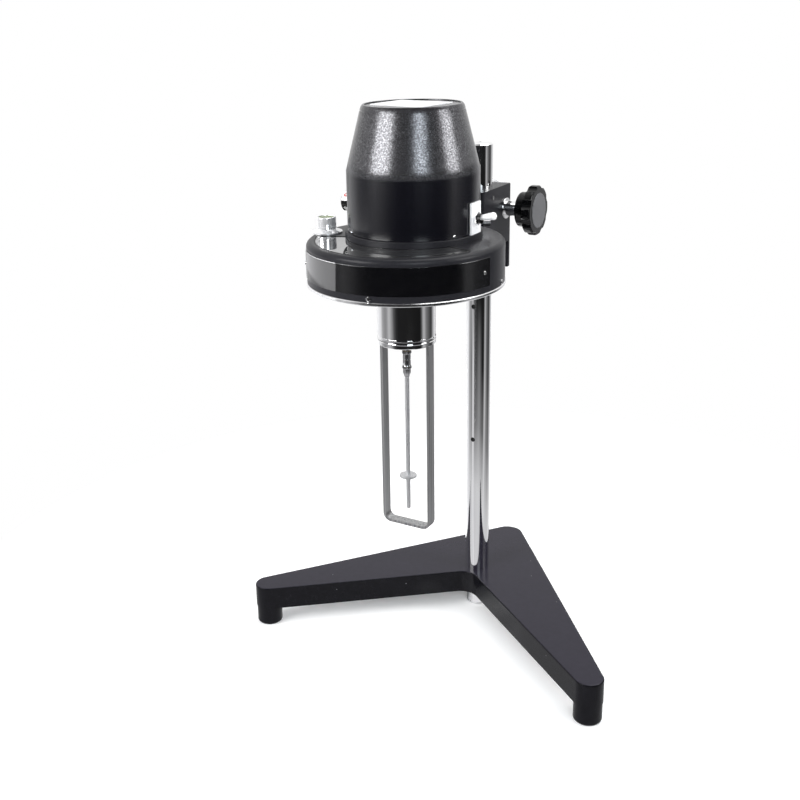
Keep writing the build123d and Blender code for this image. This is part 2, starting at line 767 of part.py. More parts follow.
bottom_plate = upright(bottom_plate_radius, bottom_plate_bottom, housing_bottom, 0, head_y)
bottom_plate = chamfer(bottom_plate.edges(), 0.5)
bottom_plate -= upright(bottom_plate_bore, 0, housing_bottom + 1, 0, head_y)
save(bottom_plate, "bottom_plate")

strip = sector(
    housing_radius + strip_thickness, strip_left_angle, strip_right_angle, strip_bottom, strip_top
)
strip -= upright(housing_radius + strip_seat, 0, deck_top, 0, head_y)
save(strip, "name_strip")

strip_screws = Part()
for angle in strip_screw_angles:
    wall = housing_radius + strip_thickness
    x, y = around_front(angle, wall + 0.4)
    turned_head = Rot(0, 0, angle) * Rot(90, 0, 0)
    strip_screws += Pos(x, y, strip_screw_z) * turned_head * Cylinder(strip_screw_radius, 0.8)
save(strip_screws, "strip_screws")

rim_screws = Part()
for quarter in range(4):
    angle = rim_screw_angle + 90.0 * quarter
    x, y = around_front(angle, housing_radius + 0.1)
    turned_head = Rot(0, 0, angle) * Rot(90, 0, 0)
    rim_screws += Pos(x, y, rim_screw_z) * turned_head * Cylinder(rim_screw_radius, 1.6)
rim_screws -= upright(housing_radius, 0, deck_top, 0, head_y)
save(rim_screws, "rim_screws")

# ---------------------------------------------------------------- cover
ring = upright(ring_radius, deck_top, ring_top, 0, cover_y)
ring = fillet(ring.edges().sort_by(Axis.Z)[-1], 0.8)
ring -= upright(ring_inner_radius, deck_top - 1, ring_top + 1, 0, cover_y)
save(ring, "cover_ring")

cone_rate = (cover_radius - cover_top_radius) / (cover_top - cover_break)


def cover_wall_radius(z):
    """Outside radius of the cover at a height."""
    if z <= cover_break:
        return cover_radius
    return cover_radius - (z - cover_break) * cone_rate


groove_top = cover_top - cover_groove_drop
groove_bottom = groove_top - cover_groove_height
cover_points = [
    (cover_radius, cover_bottom),
    (cover_radius, cover_break),
    (cover_wall_radius(groove_bottom), groove_bottom),
    (cover_wall_radius(groove_bottom) - cover_groove_depth, groove_bottom),
    (cover_wall_radius(groove_top) - cover_groove_depth, groove_top),
    (cover_wall_radius(groove_top), groove_top),
    (cover_top_radius + 0.1, cover_top - 1.2),
    (cover_top_radius - 0.9, cover_top),
    (cover_top_radius - cover_rim_width, cover_top),
    (cover_top_radius - cover_rim_width, cover_top - cover_top_recess),
    (0, cover_top - cover_top_recess),
    (0, cover_top - cover_wall - cover_top_recess),
    (cover_wall_radius(cover_top - cover_wall) - cover_wall - 0.6, cover_top - cover_wall - cover_top_recess),
    (cover_radius - cover_wall, cover_break),
    (cover_radius - cover_wall, cover_bottom),
]
cover = turned(cover_points, 0, cover_y)
wall_cut_start = cover_radius - cover_wall - 5.0
cover -= along_x(switch_bush_radius + 0.1, wall_cut_start, cover_radius + 5, switch_y, switch_z)
cover -= along_x(
    speed_shaft_radius + running_gap, -wall_cut_start, -cover_radius - 5, speed_knob_y, speed_knob_z
)
lock_slot = box_between(
    wall_cut_start,
    cover_radius + 5,
    -lock_slot_half_width,
    lock_slot_half_width,
    lock_lever_z - lock_slot_half_height,
    lock_lever_z + lock_slot_half_height,
)
cover -= Pos(0, cover_y, 0) * Rot(0, 0, lock_lever_angle) * lock_slot
save(cover, "bell_cover")

cover_screws = Part()
for angle in cover_screw_angles:
    x, y = around_front(angle, cover_radius + 0.4, cover_y)
    turned_head = Rot(0, 0, angle) * Rot(90, 0, 0)
    cover_screws += Pos(x, y, ring_top + 1.6) * turned_head * Cylinder(cover_screw_radius, 1.2)
cover_screws -= upright(cover_radius, 0, cover_break, 0, cover_y)
save(cover_screws, "cover_screws")

recess_floor = cover_top - cover_top_recess
top_plate = extrude(RectangleRounded(top_plate_width, top_plate_depth, 1.5), amount=top_plate_thickness)
top_plate = Pos(top_plate_x, top_plate_y, recess_floor) * Rot(0, 0, top_plate_turn) * top_plate
save(top_plate, "blank_top_plate")

# ---------------------------------------------------------------- switch
plate_end = switch_plate_inner + switch_plate_thickness
switch_plate = box_between(
    switch_plate_inner,
    plate_end,
    switch_y - switch_plate_width / 2,
    switch_y + switch_plate_width / 2,
    switch_z - switch_plate_height / 2 + 0.4,
    switch_z + switch_plate_height / 2,
)
switch_plate -= along_x(switch_bush_radius, switch_plate_inner - 1, plate_end + 1, switch_y, switch_z)
save(switch_plate, "switch_plate")

switch_body = box_between(
    switch_body_start,
    switch_body_end,
    switch_y - switch_body_width / 2,
    switch_y + switch_body_width / 2,
    switch_z - switch_body_height / 2,
    switch_z + switch_body_height / 2,
)
switch_body += along_x(switch_bush_radius, switch_body_end - 1, switch_bush_end, switch_y, switch_z)
switch_body -= along_x(switch_bush_bore, toggle_pivot_x - 3.0, switch_bush_end + 1, switch_y, switch_z)
save(switch_body, "switch_body")

nut = Pos(plate_end, switch_y, switch_z) * Rot(0, 90, 0) * extrude(RegularPolygon(4.9, 6), amount=1.8)
nut -= along_x(switch_bush_radius, plate_end - 1, plate_end + 3, switch_y, switch_z)
save(nut, "switch_nut")

bat_points = [
    (0, 0),
    (toggle_root_radius, 0),
    (toggle_root_radius, 3.5),
    (toggle_tip_radius, toggle_length - 2.0),
    (toggle_tip_radius * 0.8, toggle_length - 0.7),
    (toggle_tip_radius * 0.35, toggle_length),
    (0, toggle_length),
]
toggle = turned(bat_points) + Sphere(2.1)
toggle = Pos(toggle_pivot_x, switch_y, switch_z) * Rot(0, 90 - toggle_tilt, 0) * toggle
save(toggle, "toggle_lever")

# ---------------------------------------------------------------- speed knob
drum = along_x(speed_knob_radius, speed_knob_start, speed_knob_end, speed_knob_y, speed_knob_z)
drum = chamfer(drum.edges(), 0.6)
for groove in range(speed_knob_grooves):
    angle = 360.0 * (groove + 0.5) / speed_knob_grooves
    cut = box_between(-2.2, 2.2, -0.4, 0.4, speed_knob_radius - 0.45, speed_knob_radius + 1)
    place = Pos(speed_knob_end + 2.2, speed_knob_y, speed_knob_z) * Rot(angle, 0, 0)
    drum -= place * cut
save(drum, "speed_knob")
speed_shaft = along_x(
    speed_shaft_radius, speed_knob_start, -cover_radius + cover_wall + 2.0, speed_knob_y, speed_knob_z
)
save(speed_shaft, "speed_knob_shaft")

# ---------------------------------------------------------------- pointer lock lever
lever = along_x(lock_lever_radius, cover_radius - 6.0, lock_lever_reach - 3.0, 0, lock_lever_z)
lever += along_x(lock_lever_tip_radius, lock_lever_reach - 5.0, lock_lever_reach, 0, lock_lever_z)
lever += upright(2.6, lock_lever_z - 1.6, lock_lever_z + 1.6, cover_radius - 6.0, 0)
lever = Pos(0, cover_y, 0) * Rot(0, 0, lock_lever_angle) * lever
save(lever, "pointer_lock_lever")

# ---------------------------------------------------------------- level
level_flange_top = deck_top + level_flange_height
level_points = [
    (0, deck_top),
    (level_flange_radius, deck_top),
    (level_flange_radius, level_flange_top - 0.4),
    (level_flange_radius - 0.5, level_flange_top),
    (level_cup_radius, level_flange_top),
    (level_cup_radius, level_cup_top - 0.4),
    (level_cup_radius - 0.4, level_cup_top),
    (level_glass_radius, level_cup_top),
    (level_glass_radius, level_cup_top - level_glass_thickness),
    (level_glass_radius - 0.9, level_cup_top - level_glass_thickness),
    (level_glass_radius - 0.9, level_cup_top - level_bubble_depth),
    (0, level_cup_top - level_bubble_depth),
]
save(turned(level_points, level_x, level_y), "level_cup")
level_glass = upright(
    level_glass_radius, level_cup_top - level_glass_thickness, level_cup_top - 0.1, level_x, level_y
)
save(level_glass, "level_glass")

# ---------------------------------------------------------------- handle rod
housing_rear = head_y + housing_radius
handle = along_y(handle_radius, housing_rear - housing_wall - 4.0, handle_end, 0, handle_z)
collar = along_y(handle_collar_radius, housing_rear - 2.0, housing_rear + handle_collar_length, 0, handle_z)
collar -= upright(housing_radius, housing_bottom, deck_top, 0, head_y)
handle += collar
handle = chamfer(handle.edges().sort_by(Axis.Y)[-1], 0.8)
save(handle, "handle_rod")

# ---------------------------------------------------------------- sleeve and guard
sleeve_top = bottom_plate_bottom
sleeve_points = [
    (sleeve_inner_radius, sleeve_bottom),
    (sleeve_radius - 0.4, sleeve_bottom),
    (sleeve_radius, sleeve_bottom + 0.4),
    (sleeve_radius, sleeve_bottom + 1.6),
    (sleeve_radius - 0.5, sleeve_bottom + 2.0),
    (sleeve_radius - 0.5, sleeve_bottom + 2.5),
    (sleeve_radius - 0.1, sleeve_bottom + 2.9),
    (sleeve_radius - 0.1, sleeve_top),
    (sleeve_inner_radius, sleeve_top),
]
save(turned(sleeve_points, 0, head_y), "sleeve")

spindle_bush = upright(
    sleeve_inner_radius, bush_plate_bottom, bush_plate_bottom + bush_plate_thickness, 0, head_y
)
spindle_bush += upright(bush_hub_radius, bush_plate_bottom, bush_plate_bottom + bush_hub_height, 0, head_y)
spindle_bush -= upright(spindle_radius + running_gap, 0, deck_top, 0, head_y)
save(spindle_bush, "spindle_bush")

guard_ring_points = [
    (guard_ring_inner, guard_ring_bottom),
    (sleeve_radius - 0.4, guard_ring_bottom),
    (sleeve_radius, guard_ring_bottom + 0.4),
    (sleeve_radius, guard_ring_top - 0.4),
    (sleeve_radius - 0.4, guard_ring_top),
    (sleeve_inner_radius - 0.08, guard_ring_top),
    (sleeve_inner_radius - 0.08, guard_spigot_top),
    (guard_ring_inner, guard_spigot_top),
]
save(turned(guard_ring_points, 0, head_y), "guard_ring")


def guard_loop(inset):
    """Outline of the guard's U, drawn from the front."""
    half = guard_half_width - inset
    low = guard_bottom + inset
    corner = guard_corner_radius - inset
    with BuildSketch(Plane.XZ) as sketch:
        with BuildLine():
            Line((-half, guard_ring_bottom), (-half, low + corner))
            RadiusArc((-half, low + corner), (-half + corner, low), -corner)
            Line((-half + corner, low), (half - corner, low))
            RadiusArc((half - corner, low), (half, low + corner), -corner)
            Line((half, low + corner), (half, guard_ring_bottom))
            Line((half, guard_ring_bottom), (-half, guard_ring_bottom))
        make_face()
    return sketch.sketch


guard = extrude(guard_loop(0), amount=guard_depth / 2, both=True)
guard -= extrude(guard_loop(guard_band), amount=guard_depth, both=True)
guard = Pos(0, head_y, 0) * guard
save(guard, "guard_frame")

# ---------------------------------------------------------------- spindle
spindle_points = [
    (0, coupling_top - coupling_spindle_depth),
    (spindle_radius, coupling_top - coupling_spindle_depth),
    (spindle_radius, spring_bottom - 4.9),
    (spindle_radius, spring_bottom + spring_height + 1.0),
    (pivot_radius, spring_bottom + spring_height + 1.6),
    (pivot_radius, spindle_top - 0.6),
    (0.5, spindle_top),
    (0, spindle_top),
]
save(turned(spindle_points, 0, head_y), "spindle_shaft")

coupling_points = [
    (spindle_radius, coupling_top),
    (coupling_collar_radius, coupling_top),
    (coupling_collar_radius, coupling_top - 2.2),
    (coupling_radius, coupling_top - 2.8),
    (coupling_radius, coupling_top - 6.6),
    (coupling_radius - 0.4, coupling_top - 6.9),
    (coupling_radius, coupling_top - 7.2),
    (coupling_radius, coupling_top - 11.2),
    (coupling_collar_radius, coupling_top - 11.9),
    (coupling_collar_radius, coupling_top - 13.4),
    (coupling_radius, coupling_top - 14.0),
    (coupling_radius, coupling_shoulder),
    (rotor_rod_radius + 0.2, coupling_bottom),
    (rotor_rod_radius, coupling_bottom),
    (rotor_rod_radius, coupling_bottom + coupling_bore_depth),
    (0, coupling_bottom + coupling_bore_depth),
    (0, coupling_top - coupling_spindle_depth),
    (spindle_radius, coupling_top - coupling_spindle_depth),
]
save(turned(coupling_points, 0, head_y), "spindle_coupling")

rod_points = [
    (0, rotor_tip),
    (rotor_rod_radius - 0.5, rotor_tip),
    (rotor_rod_radius, rotor_tip + 0.5),
    (rotor_rod_radius, immersion_groove_z - 0.4),
    (rotor_rod_radius - 0.25, immersion_groove_z - 0.3),
    (rotor_rod_radius - 0.25, immersion_groove_z + 0.3),
    (rotor_rod_radius, immersion_groove_z + 0.4),
    (rotor_rod_radius, coupling_bottom + coupling_bore_depth),
    (0, coupling_bottom + coupling_bore_depth),
]
save(turned(rod_points, 0, head_y), "rotor_rod")

disc_top = rotor_disc_z + rotor_disc_thickness
rotor_disc = upright(rotor_disc_radius, rotor_disc_z, disc_top, 0, head_y)
rotor_disc = chamfer(rotor_disc.edges(), 0.25)
rotor_disc -= upright(rotor_rod_radius, rotor_tip, immersion_groove_z, 0, head_y)
save(rotor_disc, "rotor_disc")

# ---------------------------------------------------------------- pointer and dial
pointer_top = pointer_bottom + pointer_thickness
pointer_shape = Polyline(
    (-1.2, pointer_tail),
    (-0.9, 0),
    (-0.25, -pointer_reach),
    (0.25, -pointer_reach),
    (0.9, 0),
    (1.2, pointer_tail),
    close=True,
)
pointer = Pos(0, head_y, pointer_bottom) * extrude(make_face(pointer_shape), amount=pointer_thickness)
pointer += upright(collet_radius, pointer_bottom - 0.6, spring_bottom + spring_height, 0, head_y)
pointer -= upright(spindle_radius, dial_bottom, spindle_top, 0, head_y)
save(pointer, "pointer")

dial = upright(dial_radius, dial_bottom, dial_top, 0, head_y)
dial -= upright(dial_bore, dial_bottom - 1, dial_top + 1, 0, head_y)
save(dial, "dial_disc")

bar_top = carrier_bar_bottom + carrier_bar_thickness
bar_reach = carrier_post_radius + carrier_post_width / 2
bar = box_between(
    -carrier_bar_half_width, carrier_bar_half_width, -bar_reach, carrier_bar_tail, carrier_bar_bottom, bar_top
)
post = box_between(
    -carrier_post_width / 2,
    carrier_post_width / 2,
    -bar_reach,
    -bar_reach + carrier_post_width,
    dial_top,
    carrier_bar_bottom + 1,
)
carrier = Pos(0, head_y, 0) * Rot(0, 0, carrier_post_angle) * (bar + post)
carrier += upright(carrier_hub_radius, carrier_bar_bottom, bar_top + 1.0, 0, head_y)
carrier += upright(arbor_radius, bar_top, arbor_top, 0, head_y)
carrier -= upright(pivot_radius + running_gap, carrier_bar_bottom - 1, spindle_top + 0.4, 0, head_y)
save(carrier, "dial_carrier")

train_gap = train_module * (dial_gear_teeth + idler_pinion_teeth) / 2
idler_x = train_gap * cos(radians(idler_direction))
idler_y = head_y + train_gap * sin(radians(idler_direction))
motor_gap = train_module * (idler_wheel_teeth + motor_pinion_teeth) / 2
motor_x = idler_x + motor_gap * cos(radians(motor_direction))
motor_y = idler_y + motor_gap * sin(radians(motor_direction))

dial_gear = gear(
    train_module, dial_gear_teeth, idler_direction, train_addendum, train_dedendum, dial_gear_thickness
)
dial_gear = Pos(0, head_y, dial_gear_bottom) * dial_gear
dial_gear -= upright(arbor_radius, dial_gear_bottom - 1, dial_gear_bottom + 9, 0, head_y)
save(dial_gear, "dial_gear")

spring_points_out = []
spring_points_in = []
spring_steps = int(spring_turns * 18)
for step in range(spring_steps + 1):
    share = step / spring_steps
    radius = spring_inner_radius + (spring_outer_radius - spring_inner_radius) * share
    angle = carrier_post_angle - 360.0 * spring_turns * (1 - share)
    spring_points_out.append(around_front(angle, radius + spring_thickness / 2))
    spring_points_in.append(around_front(angle, radius - spring_thickness / 2))
spring_outline = Polyline(*spring_points_out, *reversed(spring_points_in), close=True)
spring = Pos(0, 0, spring_bottom) * extrude(make_face(spring_outline), amount=spring_height)
save(spring, "hairspring")

# ---------------------------------------------------------------- idler and motor
idler_pinion_phase = idler_direction + 180.0 + 180.0 / idler_pinion_teeth
idler_pinion = gear(
    train_module,
    idler_pinion_teeth,
    idler_pinion_phase,
    train_addendum,
    train_dedendum,
    idler_wheel_bottom - dial_gear_bottom,
)
idler_pinion = Pos(idler_x, idler_y, dial_gear_bottom) * idler_pinion
idler_pinion += upright(idler_arbor_radius, idler_arbor_bottom, arbor_top, idler_x, idler_y)
save(idler_pinion, "idler_pinion")

idler_wheel = gear(
    train_module, idler_wheel_teeth, motor_direction, train_addendum, train_dedendum, idler_wheel_thickness
)
idler_wheel = Pos(idler_x, idler_y, idler_wheel_bottom) * idler_wheel
idler_wheel -= upright(idler_arbor_radius, 0, arbor_top, idler_x, idler_y)
save(idler_wheel, "idler_wheel")

upper_plate_top = upper_plate_bottom + gear_plate_thickness
motor_pinion = gear(
    train_module,
    motor_pinion_teeth,
    motor_direction + 180.0 + 180.0 / motor_pinion_teeth,
    train_addendum,
    train_dedendum,
    motor_pinion_top - motor_pinion_bottom,
)
motor_pinion = Pos(motor_x, motor_y, motor_pinion_bottom) * motor_pinion
motor_pinion += upright(motor_shaft_radius, motor_pinion_top - 1, upper_plate_top + 3.0, motor_x, motor_y)
save(motor_pinion, "motor_pinion")

motor = upright(motor_radius, upper_plate_top, upper_plate_top + motor_height, motor_x, motor_y)
motor = fillet(motor.edges().sort_by(Axis.Z)[-1], 2.0)
motor -= upright(motor_shaft_radius + running_gap, upper_plate_top - 1, upper_plate_top + 4.0, motor_x, motor_y)
save(motor, "motor")

lower_plate = upright(
    gear_plate_radius, lower_plate_bottom, lower_plate_bottom + gear_plate_thickness, gear_plate_x, gear_plate_y
)
lower_plate -= upright(arbor_radius + running_gap, 0, arbor_top, 0, head_y)
lower_plate -= upright(idler_arbor_radius + running_gap, 0, arbor_top, idler_x, idler_y)
upper_plate = upright(gear_plate_radius, upper_plate_bottom, upper_plate_top, gear_plate_x, gear_plate_y)
upper_plate -= upright(arbor_radius + running_gap, 0, upper_plate_top + 1, 0, head_y)
upper_plate -= upright(idler_arbor_radius + running_gap, 0, upper_plate_top + 1, idler_x, idler_y)
upper_plate -= upright(motor_shaft_radius + running_gap, 0, upper_plate_top + 1, motor_x, motor_y)
save(lower_plate, "gear_plate_lower")
save(upper_plate, "gear_plate_upper")

pillars = Part()
for angle in pillar_angles:
    x = gear_plate_x + (gear_plate_radius - pillar_inset) * cos(radians(angle))
    y = gear_plate_y + (gear_plate_radius - pillar_inset) * sin(radians(angle))
    pillars += upright(pillar_radius, deck_top, lower_plate_bottom, x, y)
    pillars += upright(pillar_radius, lower_plate_bottom + gear_plate_thickness, upper_plate_bottom, x, y)
save(pillars, "plate_pillars")
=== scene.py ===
import json
from math import cos, pi, radians, sin

import bmesh
import bpy
from mathutils import Matrix, Vector


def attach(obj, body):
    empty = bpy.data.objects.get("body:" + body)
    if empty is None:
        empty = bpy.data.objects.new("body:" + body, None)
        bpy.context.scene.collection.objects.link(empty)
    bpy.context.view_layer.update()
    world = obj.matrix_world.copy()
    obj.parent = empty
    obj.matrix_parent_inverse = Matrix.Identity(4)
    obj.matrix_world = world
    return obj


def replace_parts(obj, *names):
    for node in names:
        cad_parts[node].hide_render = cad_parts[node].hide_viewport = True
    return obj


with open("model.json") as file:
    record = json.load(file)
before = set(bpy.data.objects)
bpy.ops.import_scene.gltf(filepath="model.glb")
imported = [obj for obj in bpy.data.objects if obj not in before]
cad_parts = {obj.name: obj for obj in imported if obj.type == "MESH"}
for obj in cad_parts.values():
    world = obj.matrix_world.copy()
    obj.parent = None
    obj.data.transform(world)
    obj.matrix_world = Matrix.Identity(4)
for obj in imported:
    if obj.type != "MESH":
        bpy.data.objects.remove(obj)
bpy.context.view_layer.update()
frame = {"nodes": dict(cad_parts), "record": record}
nodes = frame["nodes"]
scene = bpy.context.scene

# pieces are drawn in millimetres, lights and the surroundings in metres
MM = 0.001
HEAD_Y = -122.0                 # axis of the spindle and the housing
COVER_Y = -109.4                # axis of the bell cover
DECK_Z = 346.0                  # top of the housing
DIAL_Z = 339.2                  # top of the dial

# ---------------------------------------------------------------- camera
CAMERA_AZIMUTH = 31.912         # from the front towards +X, in degrees
CAMERA_DOWN = 17.067
CAMERA_ROLL = -1.706
CAMERA_PLACE = (360.31, -781.66, 503.45)
CAMERA_LENS = 49.5
CAMERA_SHIFT = (0.0669, -0.075)


def place_camera():
    data = bpy.data.cameras.new("camera")
    camera = bpy.data.objects.new("camera", data)
    scene.collection.objects.link(camera)
    azimuth, down, roll = radians(CAMERA_AZIMUTH), radians(CAMERA_DOWN), radians(CAMERA_ROLL)
    forward = Vector((-sin(azimuth) * cos(down), cos(azimuth) * cos(down), -sin(down)))
    level_right = Vector((cos(azimuth), sin(azimuth), 0))
    level_up = level_right.cross(forward)
    right = level_right * cos(roll) + level_up * sin(roll)
    up = level_up * cos(roll) - level_right * sin(roll)
    turn = Matrix((right, up, -forward)).transposed()
    camera.matrix_world = Matrix.Translation(Vector(CAMERA_PLACE) * MM) @ turn.to_4x4()
    data.sensor_width = 36.0
    data.lens = CAMERA_LENS
    data.shift_x, data.shift_y = CAMERA_SHIFT
    data.clip_start = 0.05
    data.clip_end = 50.0
    scene.camera = camera


place_camera()

# ---------------------------------------------------------------- materials
FINE_BUMP = 0.00002             # metres


def new_material(name):
    material = bpy.data.materials.new(name)
    material.use_nodes = True
    tree = material.node_tree
    shader = tree.nodes["Principled BSDF"]
    return material, tree, shader


def add(tree, kind, **values):
    node = tree.nodes.new(kind)
    for key, value in values.items():
        setattr(node, key, value)
    return node


def noise(tree, scale, detail=3.0, roughness=0.55, stretch=(1, 1, 1)):
    """Noise that stays with the piece, stretched along an axis where asked."""
    place = add(tree, "ShaderNodeTexCoord")
    mapping = add(tree, "ShaderNodeMapping")
    mapping.inputs["Scale"].default_value = stretch
    texture = add(tree, "ShaderNodeTexNoise")
    texture.inputs["Scale"].default_value = scale
    texture.inputs["Detail"].default_value = detail
    texture.inputs["Roughness"].default_value = roughness
    tree.links.new(place.outputs["Object"], mapping.inputs["Vector"])
    tree.links.new(mapping.outputs["Vector"], texture.inputs["Vector"])
    return texture.outputs["Fac"]


def spread(tree, factor, low, high, start=0.3, end=0.7):
    """A value that runs from low to high as the factor runs from start to end."""
    span = add(tree, "ShaderNodeMapRange")
    span.inputs["From Min"].default_value = start
    span.inputs["From Max"].default_value = end
    span.inputs["To Min"].default_value = low
    span.inputs["To Max"].default_value = high
    tree.links.new(factor, span.inputs["Value"])
    return span.outputs["Result"]


def two_tone(tree, factor, first, second, start=0.3, end=0.7):
    """A colour that runs from the first to the second as the factor runs from start to end."""
    ramp = add(tree, "ShaderNodeValToRGB")
    ramp.color_ramp.elements[0].position = start
    ramp.color_ramp.elements[0].color = (*first, 1)
    ramp.color_ramp.elements[1].position = end
    ramp.color_ramp.elements[1].color = (*second, 1)
    tree.links.new(factor, ramp.inputs["Fac"])
    return ramp.outputs["Color"]


def mixed_colour(tree, factor):
    """A mix of two colours, whose sockets A and B are still open."""
    mix = add(tree, "ShaderNodeMix", data_type="RGBA")
    tree.links.new(factor, mix.inputs["Factor"])
    return mix


def bump(tree, shader, height, strength, distance):
    node = add(tree, "ShaderNodeBump")
    node.inputs["Strength"].default_value = strength
    node.inputs["Distance"].default_value = distance
    tree.links.new(height, node.inputs["Height"])
    tree.links.new(node.outputs["Normal"], shader.inputs["Normal"])


def metal(name, bright, dark, rough, scale, stretch=(1, 1, 1), metallic=1.0):
    """Metal whose grain runs from dark to bright and from the lower to the higher roughness."""
    material, tree, shader = new_material(name)
    shader.inputs["Metallic"].default_value = metallic
    grain = noise(tree, scale, 4.0, 0.6, stretch)
    tree.links.new(two_tone(tree, grain, dark, bright), shader.inputs["Base Color"])
    tree.links.new(spread(tree, grain, *rough), shader.inputs["Roughness"])
    bump(tree, shader, grain, 0.15, FINE_BUMP)
    return material


def paint(name, first, second, rough, scale, bump_size=FINE_BUMP, specular=0.5):
    """Paint, plastic or ink with a fine grain between two tones."""
    material, tree, shader = new_material(name)
    grain = noise(tree, scale, 3.0, 0.6)
    tree.links.new(two_tone(tree, grain, first, second), shader.inputs["Base Color"])
    tree.links.new(spread(tree, grain, *rough), shader.inputs["Roughness"])
    shader.inputs["Specular IOR Level"].default_value = specular
    bump(tree, shader, grain, 0.3, bump_size)
    return material


def cover_material():
    """Black enamel with a flake grain: the cone painted lighter and more metallic as a painted highlight, the
    straight wall below it painted darker as painted shade.
    """
    cone_start, cone_full = 0.3900, 0.3945
    material, tree, shader = new_material("cover_enamel")
    place = add(tree, "ShaderNodeTexCoord")
    split = add(tree, "ShaderNodeSeparateXYZ")
    tree.links.new(place.outputs["Object"], split.inputs["Vector"])
    cone = spread(tree, split.outputs["Z"], 0.0, 1.0, cone_start, cone_full)
    flake = noise(tree, 900.0, 6.0, 0.8)
    # painted light: the cone's lighter flake is a painted highlight, the wall's near-black plain colour is
    # painted shade
    flake_and_painted_highlight = two_tone(tree, flake, (0.040, 0.040, 0.043), (0.19, 0.19, 0.20), 0.44, 0.70)
    plain = two_tone(tree, noise(tree, 300.0), (0.0018, 0.0018, 0.0036), (0.0028, 0.0028, 0.0052))
    colour = mixed_colour(tree, cone)
    tree.links.new(plain, colour.inputs["A"])
    tree.links.new(flake_and_painted_highlight, colour.inputs["B"])
    tree.links.new(colour.outputs["Result"], shader.inputs["Base Color"])
    tree.links.new(spread(tree, cone, 0.0, 0.8, 0.0, 1.0), shader.inputs["Metallic"])
    rough = add(tree, "ShaderNodeMix")
    tree.links.new(cone, rough.inputs["Factor"])
    tree.links.new(spread(tree, flake, 0.20, 0.24), rough.inputs["A"])
    tree.links.new(spread(tree, flake, 0.21, 0.28), rough.inputs["B"])
    tree.links.new(rough.outputs["Result"], shader.inputs["Roughness"])
    shader.inputs["Specular IOR Level"].default_value = 0.55
    bump(tree, shader, flake, 0.30, 2 * FINE_BUMP)
    return material


def glass(name, colour, alpha, rough=0.03, coat=0.0):
    """Tinted glass that lets a share of what lies under it through."""
    material, tree, shader = new_material(name)
    smear = noise(tree, 60.0, 2.0, 0.5)
    lighter = tuple(channel * 1.25 for channel in colour)
    tree.links.new(two_tone(tree, smear, colour, lighter), shader.inputs["Base Color"])
    tree.links.new(spread(tree, smear, rough, rough + 0.02), shader.inputs["Roughness"])
    shader.inputs["Alpha"].default_value = alpha
    shader.inputs["Specular IOR Level"].default_value = 0.9
    shader.inputs["Coat Weight"].default_value = coat
    shader.inputs["Coat Roughness"].default_value = 0.02
    shader.inputs["Coat IOR"].default_value = 2.2
    return material


def base_material():
    """Smooth dark enamel, painted lighter where it faces up as a painted sheen, with a few pale specks in it.
    """
    material, tree, shader = new_material("base_enamel")
    place = add(tree, "ShaderNodeTexCoord")
    cell = add(tree, "ShaderNodeTexVoronoi")
    cell.inputs["Scale"].default_value = 70.0
    tree.links.new(place.outputs["Object"], cell.inputs["Vector"])
    speck = spread(tree, cell.outputs["Distance"], 1.0, 0.0, 0.018, 0.030)
    facing = add(tree, "ShaderNodeNewGeometry")
    direction = add(tree, "ShaderNodeSeparateXYZ")
    tree.links.new(facing.outputs["Normal"], direction.inputs["Vector"])
    # upward-facing mask for the painted sheen on the top surfaces
    upward = spread(tree, direction.outputs["Z"], 0.0, 1.0, 0.7, 0.95)
    grain = noise(tree, 220.0)
    clean = two_tone(tree, grain, (0.0030, 0.0029, 0.0040), (0.0045, 0.0043, 0.0060))
    painted_sheen = two_tone(tree, grain, (0.0168, 0.0152, 0.0232), (0.0188, 0.0170, 0.0258))
    enamel = mixed_colour(tree, upward)
    tree.links.new(clean, enamel.inputs["A"])
    tree.links.new(painted_sheen, enamel.inputs["B"])
    colour = mixed_colour(tree, speck)
    tree.links.new(enamel.outputs["Result"], colour.inputs["A"])
    colour.inputs["B"].default_value = (0.16, 0.16, 0.17, 1)
    tree.links.new(colour.outputs["Result"], shader.inputs["Base Color"])
    tree.links.new(spread(tree, grain, 0.15, 0.23), shader.inputs["Roughness"])
    shader.inputs["Specular IOR Level"].default_value = 0.16
    bump(tree, shader, grain, 0.25, FINE_BUMP)
    return material


